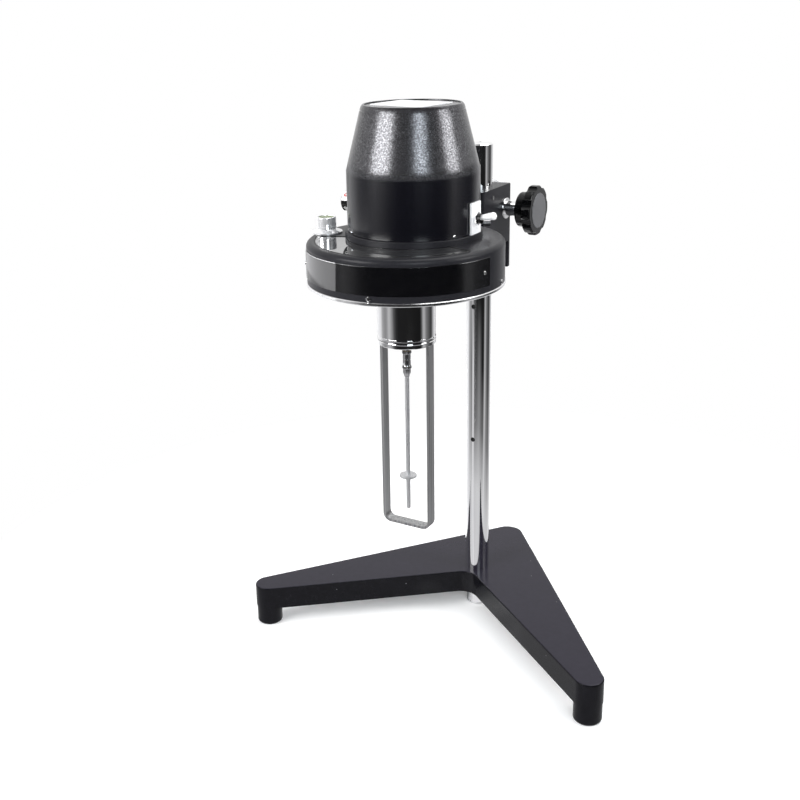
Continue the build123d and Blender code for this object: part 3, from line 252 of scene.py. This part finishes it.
looks = {
    "base": base_material(),
    "cover": cover_material(),
    # metals: bright and dark tone, roughness, scale of the grain and its stretch
    "chrome": metal("chrome_plate", (0.90, 0.90, 0.90), (0.84, 0.84, 0.85), (0.03, 0.10), 150.0,
                    (1, 1, 0.2)),
    "steel": metal("brushed_steel", (0.52, 0.52, 0.525), (0.20, 0.20, 0.205), (0.26, 0.40), 1.0,
                   (700, 700, 6)),
    "steel_bright": metal("turned_steel", (0.62, 0.62, 0.63), (0.50, 0.50, 0.51), (0.14, 0.24), 700.0,
                          (1, 1, 6)),
    "rod_steel": metal("rod_steel", (0.62, 0.62, 0.63), (0.48, 0.48, 0.49), (0.26, 0.36), 700.0, (1, 1, 0.1),
                       metallic=0.75),
    "aluminium": metal("turned_aluminium", (0.90, 0.90, 0.91), (0.80, 0.80, 0.81), (0.16, 0.26), 500.0),
    "level": metal("polished_aluminium", (0.92, 0.92, 0.93), (0.84, 0.84, 0.85), (0.05, 0.11), 500.0,
                   metallic=0.6),
    "pale_nickel": metal("pale_nickel", (0.92, 0.92, 0.92), (0.82, 0.82, 0.83), (0.30, 0.42), 600.0,
                         metallic=0.25),
    "brass": metal("brass", (0.78, 0.60, 0.30), (0.66, 0.48, 0.22), (0.2, 0.32), 300.0),
    "motor": metal("motor_case", (0.62, 0.62, 0.62), (0.5, 0.5, 0.5), (0.35, 0.5), 300.0),
    # paints, plastics and inks: two tones, roughness, scale of the grain
    "black": paint("black_enamel", (0.010, 0.010, 0.0125), (0.016, 0.016, 0.019), (0.30, 0.40), 900.0,
                   bump_size=0.00003, specular=0.17),
    "bakelite": paint("bakelite", (0.0020, 0.0020, 0.0024), (0.0035, 0.0035, 0.004), (0.10, 0.18), 400.0,
                      specular=0.3),
    "grey_plastic": paint("grey_plastic", (0.068, 0.068, 0.072), (0.095, 0.095, 0.10), (0.3, 0.4), 900.0,
                          bump_size=0.00003),
    "white_plate": paint("white_plate", (0.84, 0.84, 0.85), (0.88, 0.88, 0.89), (0.25, 0.35), 400.0),
    "strip": paint("strip_black", (0.0015, 0.0015, 0.002), (0.003, 0.003, 0.0035), (0.05, 0.09), 200.0,
                   bump_size=0.00001, specular=0.6),
    "dial": paint("dial_black", (0.012, 0.012, 0.012), (0.018, 0.018, 0.018), (0.5, 0.6), 400.0),
    "red": paint("red_paint", (0.55, 0.03, 0.02), (0.62, 0.05, 0.03), (0.3, 0.4), 400.0),
    # white ink for print, also a painted highlight on the level's bubble
    "white_ink_and_bubble_highlight": paint("white_ink_and_bubble_highlight", (0.72, 0.72, 0.72), (0.80, 0.80, 0.80), (0.4, 0.5), 600.0,
                       bump_size=0.00001),
    # near-black paint, used as painted shade in screw slots, in the column's screw bores and in the gap round
    # the window
    "slot_dark": paint("slot_dark", (0.004, 0.004, 0.004), (0.008, 0.008, 0.008), (0.5, 0.6), 600.0,
                       bump_size=0.00001),
    "window": glass("smoked_window", (0.030, 0.030, 0.032), 0.80, rough=0.010, coat=1.0),
    "glass": glass("level_liquid", (0.25, 0.32, 0.12), 0.55),
}
SLOT_LOOK = {
    "base_paint": "base", "black_paint": "black", "cover_paint": "cover", "chrome": "chrome",
    "steel": "steel", "aluminium": "aluminium", "brass": "brass", "black_plastic": "bakelite",
    "grey_plastic": "grey_plastic", "white_plate": "white_plate", "dark_glass": "window",
    "clear_glass": "glass", "strip_black": "strip", "dial_black": "dial", "motor_case": "motor",
    "red_paint": "red",
}
# solids whose look is finer than their material's
NODE_LOOK = {
    "rotor_rod": "rod_steel", "rotor_disc": "rod_steel", "rack_screws": "slot_dark",
    "toggle_lever": "pale_nickel", "tension_knob": "pale_nickel",
}


def soften(shape):
    """Joins a solid's facets, keeps its edges crisp and shades its curved faces smoothly."""
    shape.data.shade_smooth()
    weld = shape.modifiers.new("weld", "WELD")
    weld.merge_threshold = 0.000002
    split = shape.modifiers.new("edges", "EDGE_SPLIT")
    split.split_angle = radians(26.0)
    split.use_edge_sharp = False
    normals = shape.modifiers.new("normals", "WEIGHTED_NORMAL")
    normals.weight = 100


for part in frame["record"]["subparts"]:
    shape = nodes[part["node"]]
    look = NODE_LOOK.get(part["node"], SLOT_LOOK[part["material_slot"]])
    shape.data.materials.clear()
    shape.data.materials.append(looks[look])
    soften(shape)


# ---------------------------------------------------------------- tools for pieces
def add_piece(name, mesh, look, body):
    """Names a mesh drawn in millimetres and puts it on its body."""
    mesh.transform(Matrix.Scale(MM, 4))
    mesh.materials.append(looks[look])
    piece = bpy.data.objects.new(name, mesh)
    scene.collection.objects.link(piece)
    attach(piece, body)
    return piece


def finish_piece(name, builder, look, body):
    """Turns built geometry into a named piece, smooth up to 30 degrees between faces."""
    mesh = bpy.data.meshes.new(name)
    bmesh.ops.recalc_face_normals(builder, faces=builder.faces)
    builder.to_mesh(mesh)
    builder.free()
    mesh.shade_smooth()
    mesh.set_sharp_from_angle(angle=radians(30.0))
    return add_piece(name, mesh, look, body)


def lathe(builder, profile, place=Matrix(), segments=96, ripple=None):
    """Turns (radius, height) points about the local Z axis; ripple moves a point's radius."""
    rings = []
    for level, (radius, height) in enumerate(profile):
        if radius <= 0:
            rings.append([builder.verts.new(place @ Vector((0, 0, height)))])
            continue
        ring = []
        for step in range(segments):
            angle = 2 * pi * step / segments
            here = radius + (ripple(level, step) if ripple else 0)
            ring.append(builder.verts.new(place @ Vector((here * cos(angle), here * sin(angle), height))))
        rings.append(ring)
    for low, high in zip(rings, rings[1:]):
        for step in range(segments):
            after = (step + 1) % segments
            if len(low) == 1:
                builder.faces.new((low[0], high[step], high[after]))
            elif len(high) == 1:
                builder.faces.new((low[step], low[after], high[0]))
            else:
                builder.faces.new((low[step], low[after], high[after], high[step]))


def ring_profile(inner, outer, low, high):
    """A closed rectangular profile for the lathe."""
    return [(inner, low), (outer, low), (outer, high), (inner, high), (inner, low)]


def sweep(builder, sections, closed=False):
    """Skins closed outlines one after another, and caps both ends unless the sweep is closed."""
    rows = [[builder.verts.new(point) for point in section] for section in sections]
    corners = len(rows[0])
    following = rows[1:] + rows[:1] if closed else rows[1:]
    for low, high in zip(rows, following):
        for corner in range(corners):
            after = (corner + 1) % corners
            builder.faces.new((low[corner], low[after], high[after], high[corner]))
    if not closed:
        builder.faces.new(rows[0])
        builder.faces.new(list(reversed(rows[-1])))


def block(builder, low, high, place):
    """A box between two corners."""
    size = Vector(high) - Vector(low)
    middle = (Vector(high) + Vector(low)) / 2
    for vertex in bmesh.ops.create_cube(builder, size=1.0)["verts"]:
        vertex.co = place @ Vector([vertex.co[i] * size[i] + middle[i] for i in range(3)])


def numerals(name, text, size, place, look, body, swell=0.0):
    """Plain numerals as thin raised ink; swell thickens their strokes."""
    curve = bpy.data.curves.new(name, "FONT")
    curve.body = text
    curve.size = size
    curve.align_x = "CENTER"
    curve.align_y = "CENTER"
    curve.extrude = 0.02
    curve.offset = swell
    curve.resolution_u = 4
    holder = bpy.data.objects.new(name + "_outline", curve)
    mesh = bpy.data.meshes.new_from_object(holder)
    bpy.data.objects.remove(holder)
    mesh.transform(place)
    add_piece(name, mesh, look, body)


def axes(across, up, out):
    """A rotation whose local X, Y and Z are the three directions given."""
    return Matrix((across, up, out)).transposed().to_4x4()


def facing_out(angle, radius, z, centre_y):
    """Local Z outward from an upright wall, at an angle from the front towards +X."""
    turn = radians(angle)
    up = Vector((0, 0, 1))
    out = Vector((sin(turn), -cos(turn), 0))
    foot = Vector((out.x * radius, centre_y + out.y * radius, z))
    return Matrix.Translation(foot) @ axes(up.cross(out), up, out)


# ---------------------------------------------------------------- screw heads
def domed_screws(name, node, spots, radius, height, crossed=True):
    """Domed screw heads of the head's wall, each with a slot or a cross drawn as dark blocks set into it,
    painted shade of the recess.
    """
    sunk, first_turn, next_turn = 0.35, 35.0, 47.0
    slot_half, reach = radius * 0.13, radius * 0.62
    slot_low, slot_high, cross_high = height * 0.55, height * 1.02, height * 1.03
    profile = [(0, -sunk), (radius * 0.98, -sunk), (radius, 0.0), (radius * 0.97, height * 0.45),
               (radius * 0.82, height * 0.80), (radius * 0.5, height * 0.97), (0, height)]
    builder = bmesh.new()
    slot_shade_blocks = bmesh.new()
    for number, spot in enumerate(spots):
        lathe(builder, profile, spot, 32)
        turned = spot @ Matrix.Rotation(radians(first_turn + next_turn * number), 4, "Z")
        # dark blocks through the dome: painted shade of the slot and the cross
        block(slot_shade_blocks, (-reach, -slot_half, slot_low), (reach, slot_half, slot_high), turned)
        if crossed:
            block(slot_shade_blocks, (-slot_half, -reach, slot_low), (slot_half, reach, cross_high), turned)
    heads = finish_piece(name, builder, "chrome", "head")
    finish_piece(name + "_slot_shade", slot_shade_blocks, "slot_dark", "head")
    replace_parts(heads, node)


def screw_circle(angles, radius, z, centre_y):
    return [facing_out(angle, radius, z, centre_y) for angle in angles]


def head_screws():
    """Screws of the name strip, the housing's rim and the bell cover, each on its own circle."""
    strip = screw_circle((-54.5, 76.7), radius=69.6, z=331.3, centre_y=HEAD_Y)
    rim = screw_circle((8, 98, 188, 278), radius=69.0, z=319.6, centre_y=HEAD_Y)
    cover = screw_circle((63.5, -38.4, 153.5, -128.4), radius=46.4, z=351.9, centre_y=COVER_Y)
    domed_screws("strip_screw_heads", "strip_screws", strip, radius=1.3, height=0.75)
    domed_screws("rim_screw_heads", "rim_screws", rim, radius=1.8, height=0.95)
    domed_screws("cover_screw_heads", "cover_screws", cover, radius=1.1, height=0.9, crossed=False)


head_screws()


# ---------------------------------------------------------------- bull's-eye level
LEVEL_PLACE = Matrix.Translation(Vector((-61.18, -127.5, DECK_Z)))
LEVEL_FLANGE = 11.6             # radii
LEVEL_CUP = 7.2
LEVEL_BORE = 5.7
LEVEL_WELL = 4.8
LEVEL_TOP = 11.5                # heights above the deck
LEVEL_LEDGE = 9.9


def level_body():
    """Turned cup on a flange that rises to it in a cone, with a groove round its foot."""
    flange, cup, top = LEVEL_FLANGE, LEVEL_CUP, LEVEL_TOP
    groove = cup - 0.2
    profile = [(0, 0.02), (flange - 0.15, 0.02), (flange, 0.2), (flange, 0.9), (flange - 0.15, 1.15),
               (flange - 0.5, 1.3), (cup + 0.8, 2.5), (cup + 0.3, 2.8), (cup, 3.3), (cup, 4.6),
               (groove, 4.75), (groove, 5.1), (cup, 5.25), (cup, top - 0.6), (cup - 0.1, top - 0.25),
               (cup - 0.4, top), (LEVEL_BORE + 0.4, top), (LEVEL_BORE + 0.1, top - 0.15),
               (LEVEL_BORE, top - 0.4), (LEVEL_BORE, LEVEL_LEDGE), (LEVEL_WELL, LEVEL_LEDGE),
               (LEVEL_WELL, 5.6), (0, 5.5)]
    builder = bmesh.new()
    lathe(builder, profile, LEVEL_PLACE)
    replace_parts(finish_piece("level_body", builder, "level", "head"), "level_cup")


def level_dome():
    """Glass over the liquid."""
    glass_radius = LEVEL_BORE - 0.05
    profile = [(glass_radius, LEVEL_LEDGE + 0.1), (glass_radius, 10.95), (5.1, 11.25), (3.3, 11.42),
               (0, 11.48)]
    builder = bmesh.new()
    lathe(builder, profile, LEVEL_PLACE, 64)
    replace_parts(finish_piece("level_dome", builder, "glass", "head"), "level_glass")


def level_ring_and_bubble():
    """Ring marked under the glass, and the bubble a little off its middle, painted white as a painted
    highlight.
    """
    builder = bmesh.new()
    lathe(builder, ring_profile(2.05, 2.35, 10.70, 10.80), LEVEL_PLACE, 64)
    finish_piece("level_ring", builder, "slot_dark", "head")
    off_centre = LEVEL_PLACE @ Matrix.Translation(Vector((0.5, -0.4, 0)))
    builder = bmesh.new()
    lathe(builder, [(0, 9.6), (1.0, 9.75), (1.5, 10.1), (1.2, 10.4), (0, 10.5)], off_centre, 32)
    # white paint on the air bubble: a painted highlight
    finish_piece("level_bubble", builder, "white_ink_and_bubble_highlight", "head")


level_body()
level_dome()
level_ring_and_bubble()


# ---------------------------------------------------------------- spindle coupling
def coupling_piece():
    """Coupling between the spindle and the rotor, with two knurled collars."""
    core, collar, lip, neck, rod = 2.9, 3.4, 3.05, 2.5, 1.6
    profile = [(2.0, 264.4), (2.7, 264.4), (2.95, 264.3), (collar, 264.1), (collar, 263.0), (collar, 262.2),
               (core, 261.6), (core, 257.8), (neck, 257.5), (core, 257.2), (core, 253.2), (lip, 252.9),
               (core, 252.7), (core, 252.55), (3.2, 252.5), (collar, 252.4), (collar, 251.7), (collar, 251.0),
               (core, 250.4), (core, 247.6), (2.4, 246.4), (1.85, 244.4), (rod, 244.4)]
    knurled = {level for level, (radius, height) in enumerate(profile) if radius == collar}
    ridges, depth = 40, 0.16

    def ripple(level, step):
        return -depth if level in knurled and step % 2 else 0.0

    builder = bmesh.new()
    lathe(builder, profile, Matrix.Translation(Vector((0, HEAD_Y, 0))), 2 * ridges, ripple)
    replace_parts(finish_piece("coupling", builder, "steel_bright", "spindle"), "spindle_coupling")


coupling_piece()


# ---------------------------------------------------------------- dial and speed knob
def dial_scale():
    """Hundred divisions with plain numbers, printed on the dial under the window."""
    divisions, numbered, edge, line = 100, 10, 58.6, 0.3
    low, high = 0.01, 0.05
    middle = Matrix.Translation(Vector((0, HEAD_Y, DIAL_Z)))
    builder = bmesh.new()
    for mark in range(divisions):
        tall = 6.0 if mark % 10 == 0 else 4.5 if mark % 5 == 0 else 3.0
        wide = 0.35 if mark % 5 == 0 else 0.22
        turned = middle @ Matrix.Rotation(-2 * pi * mark / divisions, 4, "Z")
        block(builder, (-wide / 2, edge - tall, low), (wide / 2, edge, high), turned)
    lathe(builder, ring_profile(edge, edge + line, low, high), middle, 128)
    finish_piece("dial_marks", builder, "white_ink_and_bubble_highlight", "dial")
    number_radius, number_size = 48.8, 6.0
    for number in range(0, divisions, numbered):
        turned = middle @ Matrix.Rotation(-2 * pi * number / divisions, 4, "Z")
        place = turned @ Matrix.Translation(Vector((0, number_radius, 0.03)))
        name = "dial_number_%d" % number
        numerals(name, str(number), number_size, place, "white_ink_and_bubble_highlight", "dial")


SPEED_KNOB_MIDDLE = Vector((0, -109.0, 366.2))
SPEED_KNOB_RADIUS = 7.2
SPEED_LABEL_OUTER = -55.0       # the labels' ends along X
SPEED_LABEL_INNER = -48.0


def speed_plate(text, centre):
    """White plate bent round the knob."""
    half, steps = 34.0, 16
    below, above = SPEED_KNOB_RADIUS - 0.3, SPEED_KNOB_RADIUS + 0.25
    section = ((SPEED_LABEL_OUTER, below), (SPEED_LABEL_OUTER, above),
               (SPEED_LABEL_INNER, above), (SPEED_LABEL_INNER, below))
    rows = []
    for step in range(steps + 1):
        angle = radians(centre - half + 2 * half * step / steps)
        out = Vector((0, -cos(angle), sin(angle)))
        rows.append([SPEED_KNOB_MIDDLE + Vector((x, 0, 0)) + out * reach for x, reach in section])
    builder = bmesh.new()
    sweep(builder, rows)
    finish_piece("speed_plate_" + text, builder, "white_plate", "speed_knob_set")


def speed_labels():
    """Four speeds round the knob: red on two white plates and white on the two plain sectors."""
    half_way = (SPEED_LABEL_OUTER + SPEED_LABEL_INNER) / 2
    for number, text in enumerate(("6", "12", "30", "60")):
        centre = 45.0 + 90.0 * number
        plated = number % 2 == 0
        if plated:
            speed_plate(text, centre)
        out = Vector((0, -cos(radians(centre)), sin(radians(centre))))
        across = Vector((1, 0, 0)).cross(out)
        reach = SPEED_KNOB_RADIUS + (0.26 if plated else 0.01)
        where = SPEED_KNOB_MIDDLE + Vector((half_way, 0, 0)) + out * reach
        place = Matrix.Translation(where) @ axes(across, out.cross(across), out)
        look, slot = ("red", "red_paint") if plated else ("white_ink_and_bubble_highlight", "white_plate")
        numerals("speed_number_" + text, text, 6.2, place, look, "speed_knob_set", swell=0.14)


dial_scale()
speed_labels()


# ---------------------------------------------------------------- column, window and strip
def rack_screw_sleeves():
    """Dark rings lining the column's three screw bores above the heads, painted shade of the bores."""
    lowest, pitch, screws = 154.4, 114.0, 3
    inner, outer, low, high = 1.72, 1.88, 8.7, 9.75
    builder = bmesh.new()
    for number in range(screws):
        foot = Matrix.Translation(Vector((0, 0, lowest + pitch * number)))
        place = foot @ Matrix.Rotation(radians(90), 4, "X")
        lathe(builder, ring_profile(inner, outer, low, high), place, 48)
    finish_piece("rack_screw_sleeves", builder, "slot_dark", "stand")


def window_gasket():
    """Black ring around the edge of the window, painted shade of the gap between the window and the lip."""
    half = radians(72.0)
    inner, outer = 34.5, 63.0
    inner_steps, outer_steps = 40, 60
    half_width, half_height, sides = 0.42, 0.20, 8
    path = [(outer, -half + 2 * half * step / outer_steps) for step in range(outer_steps + 1)]
    path += [(inner, half - 2 * half * step / inner_steps) for step in range(inner_steps + 1)]
    spots = [Vector((radius * sin(turn), HEAD_Y - radius * cos(turn), DECK_Z)) for radius, turn in path]
    rows = []
    for number, spot in enumerate(spots):
        ahead = (spots[(number + 1) % len(spots)] - spots[number - 1]).normalized()
        side = ahead.cross(Vector((0, 0, 1))) * half_width
        up = Vector((0, 0, half_height))
        angles = [2 * pi * corner / sides for corner in range(sides)]
        rows.append([spot + side * cos(angle) + up * sin(angle) for angle in angles])
    builder = bmesh.new()
    sweep(builder, rows, closed=True)
    finish_piece("window_gasket", builder, "slot_dark", "head")


def strip_edge():
    """Bright cut edge along the top of the name strip."""
    left, right, steps = -58.0, 81.5, 70
    inner, outer, low, high = 69.2, 69.58, 340.8, 341.0
    section = ((inner, low), (inner, high), (outer, high), (outer, low))
    rows = []
    for step in range(steps + 1):
        turn = radians(left + (right - left) * step / steps)
        rows.append([Vector((radius * sin(turn), HEAD_Y - radius * cos(turn), z)) for radius, z in section])
    builder = bmesh.new()
    sweep(builder, rows)
    finish_piece("strip_edge", builder, "chrome", "head")


rack_screw_sleeves()
window_gasket()
strip_edge()


# ---------------------------------------------------------------- lamps
CAMERA_SIDE = 31.9              # what stands around the object is set out from this direction
HEAD_MIDDLE = Vector((0, -0.12, 0.33))
# name, angle from the camera's side, distance, height over the head, width, height, power, colour
SOFT_BOXES = (
    ("left_box", -64, 1.5, 0.50, 0.92, 0.9, 29, (1, 1, 1)),
    ("middle_box", 11, 1.7, 0.62, 0.62, 0.8, 12, (0.88, 0.95, 1.0)),
    ("right_box", 71, 1.5, 0.50, 0.64, 0.9, 15, (1, 1, 1)),
)


def area_light(name, place, target, width, height, power, colour=(1, 1, 1)):
    """A rectangular lamp of so many watts that faces its target."""
    data = bpy.data.lights.new(name, "AREA")
    data.shape = "RECTANGLE"
    data.size = width
    data.size_y = height
    data.energy = power
    data.color = colour
    lamp = bpy.data.objects.new(name, data)
    scene.collection.objects.link(lamp)
    lamp.location = place
    lamp.rotation_mode = "QUATERNION"
    lamp.rotation_quaternion = (Vector(target) - Vector(place)).to_track_quat("-Z", "Y")


for name, angle, distance, above, width, tall, power, colour in SOFT_BOXES:
    turn = radians(CAMERA_SIDE + angle)
    place = HEAD_MIDDLE + Vector((sin(turn) * distance, -cos(turn) * distance, above))
    area_light(name, place, HEAD_MIDDLE, width, tall, power, colour)
area_light("top_box", (0.35, 0.55, 2.1), target=(0, -0.1, 0.2), width=1.6, height=1.6, power=23)

# ---------------------------------------------------------------- what the gloss shows
# brightness of the surroundings by the angle from the camera's side: at eye height, and low down
LEFT_END = ((-140, 1.0), (-126, 0.9), (-114, 0.8), (-103, 0.38))
RIGHT_END = ((83, 0.13), (94, 0.07), (106, 0.04), (116, 0.30), (130, 0.66), (150, 0.85))
UPPER = (*LEFT_END, (-88, 0.27), (-79, 0.32), (-70, 0.52), (-60, 0.34), (-51, 0.10), (-42, 0.03),
         (-34, 0.015), (46, 0.01), (53, 0.12), (58, 0.42), (65, 0.42), (73, 0.20), *RIGHT_END)
LOWER = (*LEFT_END, (-88, 0.24), (-79, 0.17), (-70, 0.30), (-63, 0.74), (-54, 0.74), (-47, 0.14),
         (-38, 0.03), (-24, 0.03), (-10, 0.15), (8, 0.19), (20, 0.08), (34, 0.015), (46, 0.01),
         (52, 0.16), (57, 0.50), (65, 0.50), (73, 0.22), *RIGHT_END)
AROUND = range(-140, 151, 2)    # angles of the wall and the bench
WALL_RADIUS = 0.62
WALL_MIDDLE_Y = -0.06
WALL_ROWS = ((0.002, LOWER), (0.10, UPPER), (0.42, UPPER))
BAND_LEFT, BAND_RIGHT = -150, -80
BAND = range(BAND_LEFT, BAND_RIGHT + 2, 2)  # angles of the bright band on the left
BAND_RADIUS = 0.60
BAND_HEIGHTS = (0.184, 0.232)
BAND_SHADE = 3.2                # at its right end, and how it grows for each degree
BAND_SLOPE = 0.028
BENCH_Z = 0.002
BENCH_SHADE = 0.85              # of the bench at the object's foot
# the share of the surroundings in the bench's shade grows from ring to ring
BENCH_RINGS = ((0.01, 0.24), (0.19, 0.26), (0.27, 0.52), (0.38, 0.84), (WALL_RADIUS, 1.0))


def shade_at(angle, table):
    """Brightness at an angle, between the table's neighbouring entries."""
    for (first, low), (last, high) in zip(table, table[1:]):
        if first <= angle <= last:
            return low + (high - low) * (angle - first) / (last - first)
    return table[-1][1]


def wall_column(angle):
    return [(WALL_RADIUS, z, shade_at(angle, table)) for z, table in WALL_ROWS]


def band_column(angle):
    shade = BAND_SHADE + BAND_SLOPE * (angle - BAND_RIGHT)
    return [(BAND_RADIUS, z, shade) for z in BAND_HEIGHTS]


def bench_column(angle):
    change = shade_at(angle, LOWER) - BENCH_SHADE
    return [(radius, BENCH_Z, BENCH_SHADE + change * share) for radius, share in BENCH_RINGS]


def card_material(name):
    """Glows with the shade that each point carries."""
    material = bpy.data.materials.new(name)
    material.use_nodes = True
    tree = material.node_tree
    tree.nodes.remove(tree.nodes["Principled BSDF"])
    colour = add(tree, "ShaderNodeVertexColor", layer_name="shade")
    glow = add(tree, "ShaderNodeEmission")
    tree.links.new(colour.outputs["Color"], glow.inputs["Color"])
    tree.links.new(glow.outputs[0], tree.nodes["Material Output"].inputs["Surface"])
    return material


def gloss_card(name, angles, column_at):
    """A surface around the object that only shows in its gloss; column_at gives radius, z and shade."""
    points, faces, shades = [], [], []
    for number, angle in enumerate(angles):
        turn = radians(CAMERA_SIDE + angle)
        column = column_at(angle)
        for radius, z, shade in column:
            points.append((sin(turn) * radius, WALL_MIDDLE_Y - cos(turn) * radius, z))
            shades.append(shade)
        for level in range(len(column) - 1 if number else 0):
            here = number * len(column) + level
            before = here - len(column)
            faces.append((before, here, here + 1, before + 1))
    mesh = bpy.data.meshes.new(name)
    mesh.from_pydata(points, [], faces)
    layer = mesh.color_attributes.new("shade", "FLOAT_COLOR", "POINT")
    for item, shade in zip(layer.data, shades):
        item.color = (shade, shade, shade * 1.02, 1)
    mesh.materials.append(card_material(name))
    card = bpy.data.objects.new(name, mesh)
    scene.collection.objects.link(card)
    card.visible_camera = False
    card.visible_diffuse = False
    card.visible_shadow = False
    card.visible_transmission = False


gloss_card("card_wall", AROUND, wall_column)
gloss_card("card_side", BAND, band_column)
gloss_card("card_bench", AROUND, bench_column)


# ---------------------------------------------------------------- world and floor
def value_math(tree, operation, first, second):
    """One number from two; each is a socket or a plain value."""
    node = add(tree, "ShaderNodeMath", operation=operation)
    for socket, value in zip(node.inputs, (first, second)):
        if isinstance(value, float):
            socket.default_value = value
        else:
            tree.links.new(value, socket)
    return node.outputs[0]


def seen_directly(tree):
    """One for rays from the camera, also through glass, and nought for all others."""
    rays = add(tree, "ShaderNodeLightPath")
    return value_math(tree, "MAXIMUM", rays.outputs["Is Camera Ray"], rays.outputs["Is Transmission Ray"])


def mixed_shader(tree, factor, first, second):
    mix = add(tree, "ShaderNodeMixShader")
    tree.links.new(factor, mix.inputs["Fac"])
    tree.links.new(first, mix.inputs[1])
    tree.links.new(second, mix.inputs[2])
    return mix.outputs[0]


def background(tree, strength):
    node = add(tree, "ShaderNodeBackground")
    node.inputs["Color"].default_value = (1, 1, 1, 1)
    node.inputs["Strength"].default_value = strength
    return node


def world_light():
    """White where the camera sees it, and in the gloss dark on the camera's side."""
    world = bpy.data.worlds.new("studio")
    scene.world = world
    world.use_nodes = True
    tree = world.node_tree
    tree.nodes.remove(tree.nodes["Background"])
    place = add(tree, "ShaderNodeTexCoord")
    side = add(tree, "ShaderNodeVectorMath", operation="DOT_PRODUCT")
    side.inputs[1].default_value = (sin(radians(CAMERA_SIDE)), -cos(radians(CAMERA_SIDE)), 0)
    tree.links.new(place.outputs["Generated"], side.inputs[0])
    # from 0 on the far side to 1 on the side where the camera stands
    towards = value_math(tree, "ADD", value_math(tree, "MULTIPLY", side.outputs["Value"], 0.5), 0.5)
    mirrored = background(tree, 1.0)
    darkening = two_tone(tree, towards, (1, 1, 1), (0.05, 0.05, 0.055), 0.42, 0.62)
    tree.links.new(darkening, mirrored.inputs["Color"])
    rays = add(tree, "ShaderNodeLightPath")
    fill = background(tree, 0.45)
    lit = mixed_shader(tree, rays.outputs["Is Glossy Ray"], fill.outputs[0], mirrored.outputs[0])
    shown = mixed_shader(tree, seen_directly(tree), lit, background(tree, 1.0).outputs[0])
    tree.links.new(shown, tree.nodes["World Output"].inputs["Surface"])


def floor_material():
    """Pale floor, a little lifted for the camera, that runs out into the white background."""
    fade_start, fade_end, lift = 0.26, 0.48, 0.17
    material, tree, shader = new_material("pale_floor")
    shader.inputs["Base Color"].default_value = (0.93, 0.93, 0.935, 1)
    shader.inputs["Roughness"].default_value = 0.9
    shader.inputs["Specular IOR Level"].default_value = 0.1
    place = add(tree, "ShaderNodeTexCoord")
    distance = add(tree, "ShaderNodeVectorMath", operation="LENGTH")
    tree.links.new(place.outputs["Object"], distance.inputs[0])
    far = spread(tree, distance.outputs["Value"], 0.0, 1.0, fade_start, fade_end)
    seen = seen_directly(tree)
    lifted = add(tree, "ShaderNodeEmission")
    tree.links.new(value_math(tree, "MULTIPLY", seen, lift), lifted.inputs["Strength"])
    near = add(tree, "ShaderNodeAddShader")
    tree.links.new(shader.outputs[0], near.inputs[0])
    tree.links.new(lifted.outputs[0], near.inputs[1])
    white = add(tree, "ShaderNodeEmission")
    faded = mixed_shader(tree, value_math(tree, "MULTIPLY", far, seen), near.outputs[0], white.outputs[0])
    tree.links.new(faded, tree.nodes["Material Output"].inputs["Surface"])
    return material


def floor():
    reach = 4.0
    corners = [(-reach, -reach, 0), (reach, -reach, 0), (reach, reach, 0), (-reach, reach, 0)]
    mesh = bpy.data.meshes.new("floor")
    mesh.from_pydata(corners, [], [(0, 1, 2, 3)])
    mesh.materials.append(floor_material())
    ground = bpy.data.objects.new("floor", mesh)
    scene.collection.objects.link(ground)


world_light()
floor()

scene.view_settings.view_transform = "Standard"
